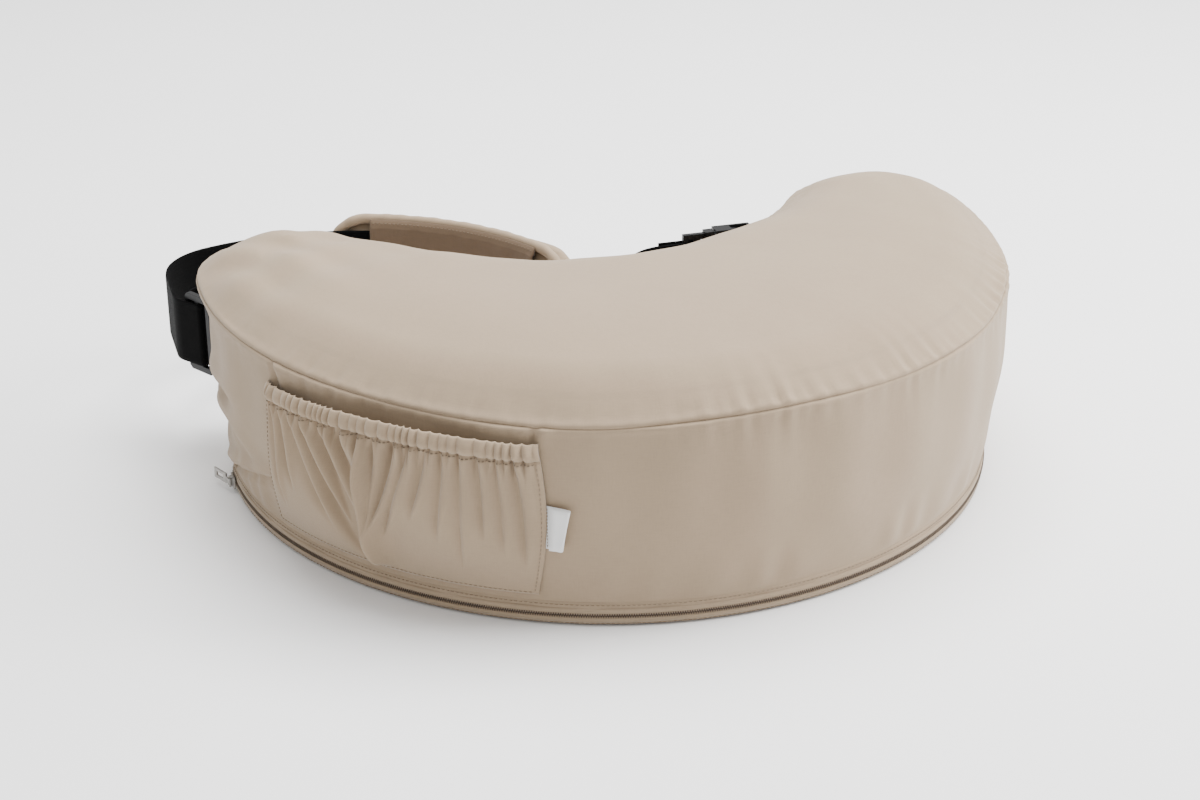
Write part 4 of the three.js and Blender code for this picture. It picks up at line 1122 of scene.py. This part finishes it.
def simulate_pad(obj):
    """Swells the pad as cloth under pressure, then keeps the result as its mesh."""
    remesh = obj.modifiers.new("remesh", "REMESH")
    remesh.mode, remesh.voxel_size = "VOXEL", 0.004
    apply_modifiers(obj)
    start = read_points(obj)
    cloth = obj.modifiers.new("cloth", "CLOTH")
    cloth.settings.effector_weights.gravity = 0.0
    for key, value in {
        "use_pressure": True, "uniform_pressure_force": 3.5, "quality": 6,
        "mass": 0.3, "bending_stiffness": 2.0, "shrink_min": -0.03,
    }.items():
        setattr(cloth.settings, key, value)
    scene = bpy.context.scene
    scene.frame_start, scene.frame_end = 1, 20
    for number in range(1, 21):
        scene.frame_set(number)
    apply_modifiers(obj)
    scene.frame_set(1)
    moved = read_points(obj) - start
    size = np.linalg.norm(moved, axis=1, keepdims=True)
    points = start + moved * np.minimum(1.0, PAD_SWELL / np.maximum(size, 1e-9))
    centre = np.array((ARC_X, ARC_Y)) * MM
    away = points[:, :2] - centre
    radius = np.linalg.norm(away, axis=1)
    least = (PAD_IN + 0.6) * MM
    points[:, :2] = centre + away * (np.maximum(radius, least) / radius)[:, None]
    obj.data.vertices.foreach_set("co", points.ravel())
    obj.data.update()


def apply_modifiers(obj):
    graph = bpy.context.evaluated_depsgraph_get()
    made = bpy.data.meshes.new_from_object(obj.evaluated_get(graph), depsgraph=graph)
    obj.modifiers.clear()
    old = obj.data
    obj.data = made
    bpy.data.meshes.remove(old)


def read_points(obj):
    flat = np.empty(len(obj.data.vertices) * 3)
    obj.data.vertices.foreach_get("co", flat)
    return flat.reshape(-1, 3)


def make_pad():
    points, faces = pad_base()
    obj = make_mesh("back_pad_body", points, faces, pad_cloth)
    simulate_pad(obj)
    obj.data.polygons.foreach_set("use_smooth", [True] * len(obj.data.polygons))
    if not obj.data.materials:
        obj.data.materials.append(pad_cloth)
    add_subdivision(obj)
    ride(obj, PAD_BODY, ("pad_foam", "pad_cover_inner", "pad_cover_outer"), "cover_cloth")


def make_binding():
    """The rounded seam round the pad: a closed cord of cloth."""
    count, sides, radius = 300, 16, 4.2
    spots = [pad_outline(i / count, 2.6) for i in range(count)]
    line, above = (np.array([pad_place(*spot, PAD_IN + 4.6 + more) for spot in spots]) for more in (0, 1))
    ahead = unit(np.roll(line, -1, axis=0) - np.roll(line, 1, axis=0))
    up = above - line
    up = unit(up - ahead * (up * ahead).sum(axis=1, keepdims=True))
    side = np.cross(ahead, up)
    points = []
    for i in range(count):
        wobble = 1 + 0.05 * math.sin(i * 0.9) + 0.04 * math.sin(i * 0.37 + 1)
        for k in range(sides):
            a = TAU * k / sides
            points.append(line[i] + (side[i] * math.cos(a) + up[i] * math.sin(a)) * radius * wobble)
    points = np.array(points)
    faces = outward(points, grid_faces(count, sides, wrap_cols=True, wrap_rows=True))
    uv = np.array([(i * 2.0, k * 1.0) for i in range(count) for k in range(sides)]) * MM
    obj = make_mesh("back_pad_binding", points, faces, trim_cloth, uv)
    add_subdivision(obj)
    ride(obj, PAD_BODY, slot="cover_cloth")


make_pad()
make_binding()


def make_sleeve():
    """The panel that holds the webbing, stitched along its top and bottom; its sand cloth is darkened as painted
    shade on the pad's inner face.
    """
    face = ARC_R - WEB_T / 2 - 0.4
    half = WEB_W / 2 + 2.4
    sections = []
    for i in range(91):
        t = i / 90
        deg = lerp(20.0, 64.5, t)
        rim = bell(min(t, 1 - t) * 90 - 2.0, 1.5)
        wave = 0.25 * math.sin(t * 31) + 0.2 * math.sin(t * 53 + 1)
        loop = [(PAD_IN - 0.2, half + 7.0), (face + 1.4, half + 7.2)]
        loop += [(face + 0.6, half + 2.6), (face - 1.0, half + 0.9)]
        for w in np.linspace(1, -1, 25):
            swell = 1.3 * math.cos(w * math.pi / 2) ** 0.5 if abs(w) < 1 else 0
            loop.append((face - 1.0 - swell * 0.5 - 0.35 * rim + wave * 0.4, w * half))
        loop += [(r, -h) for r, h in reversed(loop[:4])]
        loop += [(PAD_IN - 0.2, -half), (face + 0.1, -half), (face + 0.1, half), (PAD_IN - 0.2, half)]
        sections.append([arc_point(deg, r, WEB_MID + h) for r, h in loop])
    band("back_pad_sleeve", sections, sleeve_cloth, ("pad_sleeve",), "sleeve_cloth", PAD_BODY)
    for side, name in ((1, "upper"), (-1, "lower")):
        angles = np.linspace(20.3, 64.2, 120)
        line = [arc_point(a, face + 0.9, WEB_MID + side * (half + 4.4)) for a in angles]
        outs = [(-sind(a), -cosd(a), 0) for a in angles]
        stitches("back_pad_stitches_" + name, line, outs, body=PAD_BODY, slot="sleeve_cloth")


make_sleeve()


# ---- CAD nodes that stay ----
for nodes, material in (
    (("tri_glide", "buckle_male", "buckle_female", "buckle_prong_upper", "buckle_prong_lower"), black_plastic),
    (("zip_slider", "zip_pull", "zip_stop_left", "zip_stop_right"), zip_metal),
):
    for node in nodes:
        for slot in bpy.data.objects[node].material_slots:
            slot.material = material


# ---- Floor, light and camera ----
n = Nodes("floor_paint")
tone = n.noise(n.body, 3.0)
n.link(n.ramp(tone, [(0.3, (0.93,) * 3), (0.7, (0.95,) * 3)]), n.shader.inputs["Base Color"])
n.shader.inputs["Roughness"].default_value = 0.9
size = 6000.0
corners = [(x * size, y * size, -0.3) for x, y in ((-1, -1), (1, -1), (1, 1), (-1, 1))]
make_mesh("floor", corners, [(0, 1, 2, 3)], n.material, rounded=False)


def area_light(name, place_m, target, size, power):
    data = bpy.data.lights.new(name, "AREA")
    data.shape, data.energy = "RECTANGLE", power
    data.size, data.size_y = size
    obj = add_object(name, data)
    obj.location = place_m
    aim = Vector(target) - Vector(place_m)
    obj.rotation_euler = aim.to_track_quat("-Z", "Y").to_euler()


world = bpy.data.worlds.new("studio")
world.use_nodes = True
background = world.node_tree.nodes["Background"]
background.inputs["Color"].default_value = (1, 1, 1, 1)
background.inputs["Strength"].default_value = 0.90
bpy.context.scene.world = world
middle = (0.0, 0.05, 0.1)
area_light("overhead", (0.45, 0.45, 2.3), middle, (2.4, 2.0), 142.0)
area_light("key", (1.9, -0.35, 1.15), middle, (1.1, 1.3), 66.0)

azimuth, elevation, distance = -17.0, 25.0, 1.6
target = Vector((-0.036, 0.0, 0.080))
away = Vector((sind(azimuth) * cosd(elevation), -cosd(azimuth) * cosd(elevation), sind(elevation)))
data = bpy.data.cameras.new("camera")
data.lens, data.sensor_width = 67.2, 36.0
obj = add_object("camera", data)
obj.location = target + away * distance
obj.rotation_euler = (-away).to_track_quat("-Z", "Y").to_euler()
bpy.context.scene.camera = obj
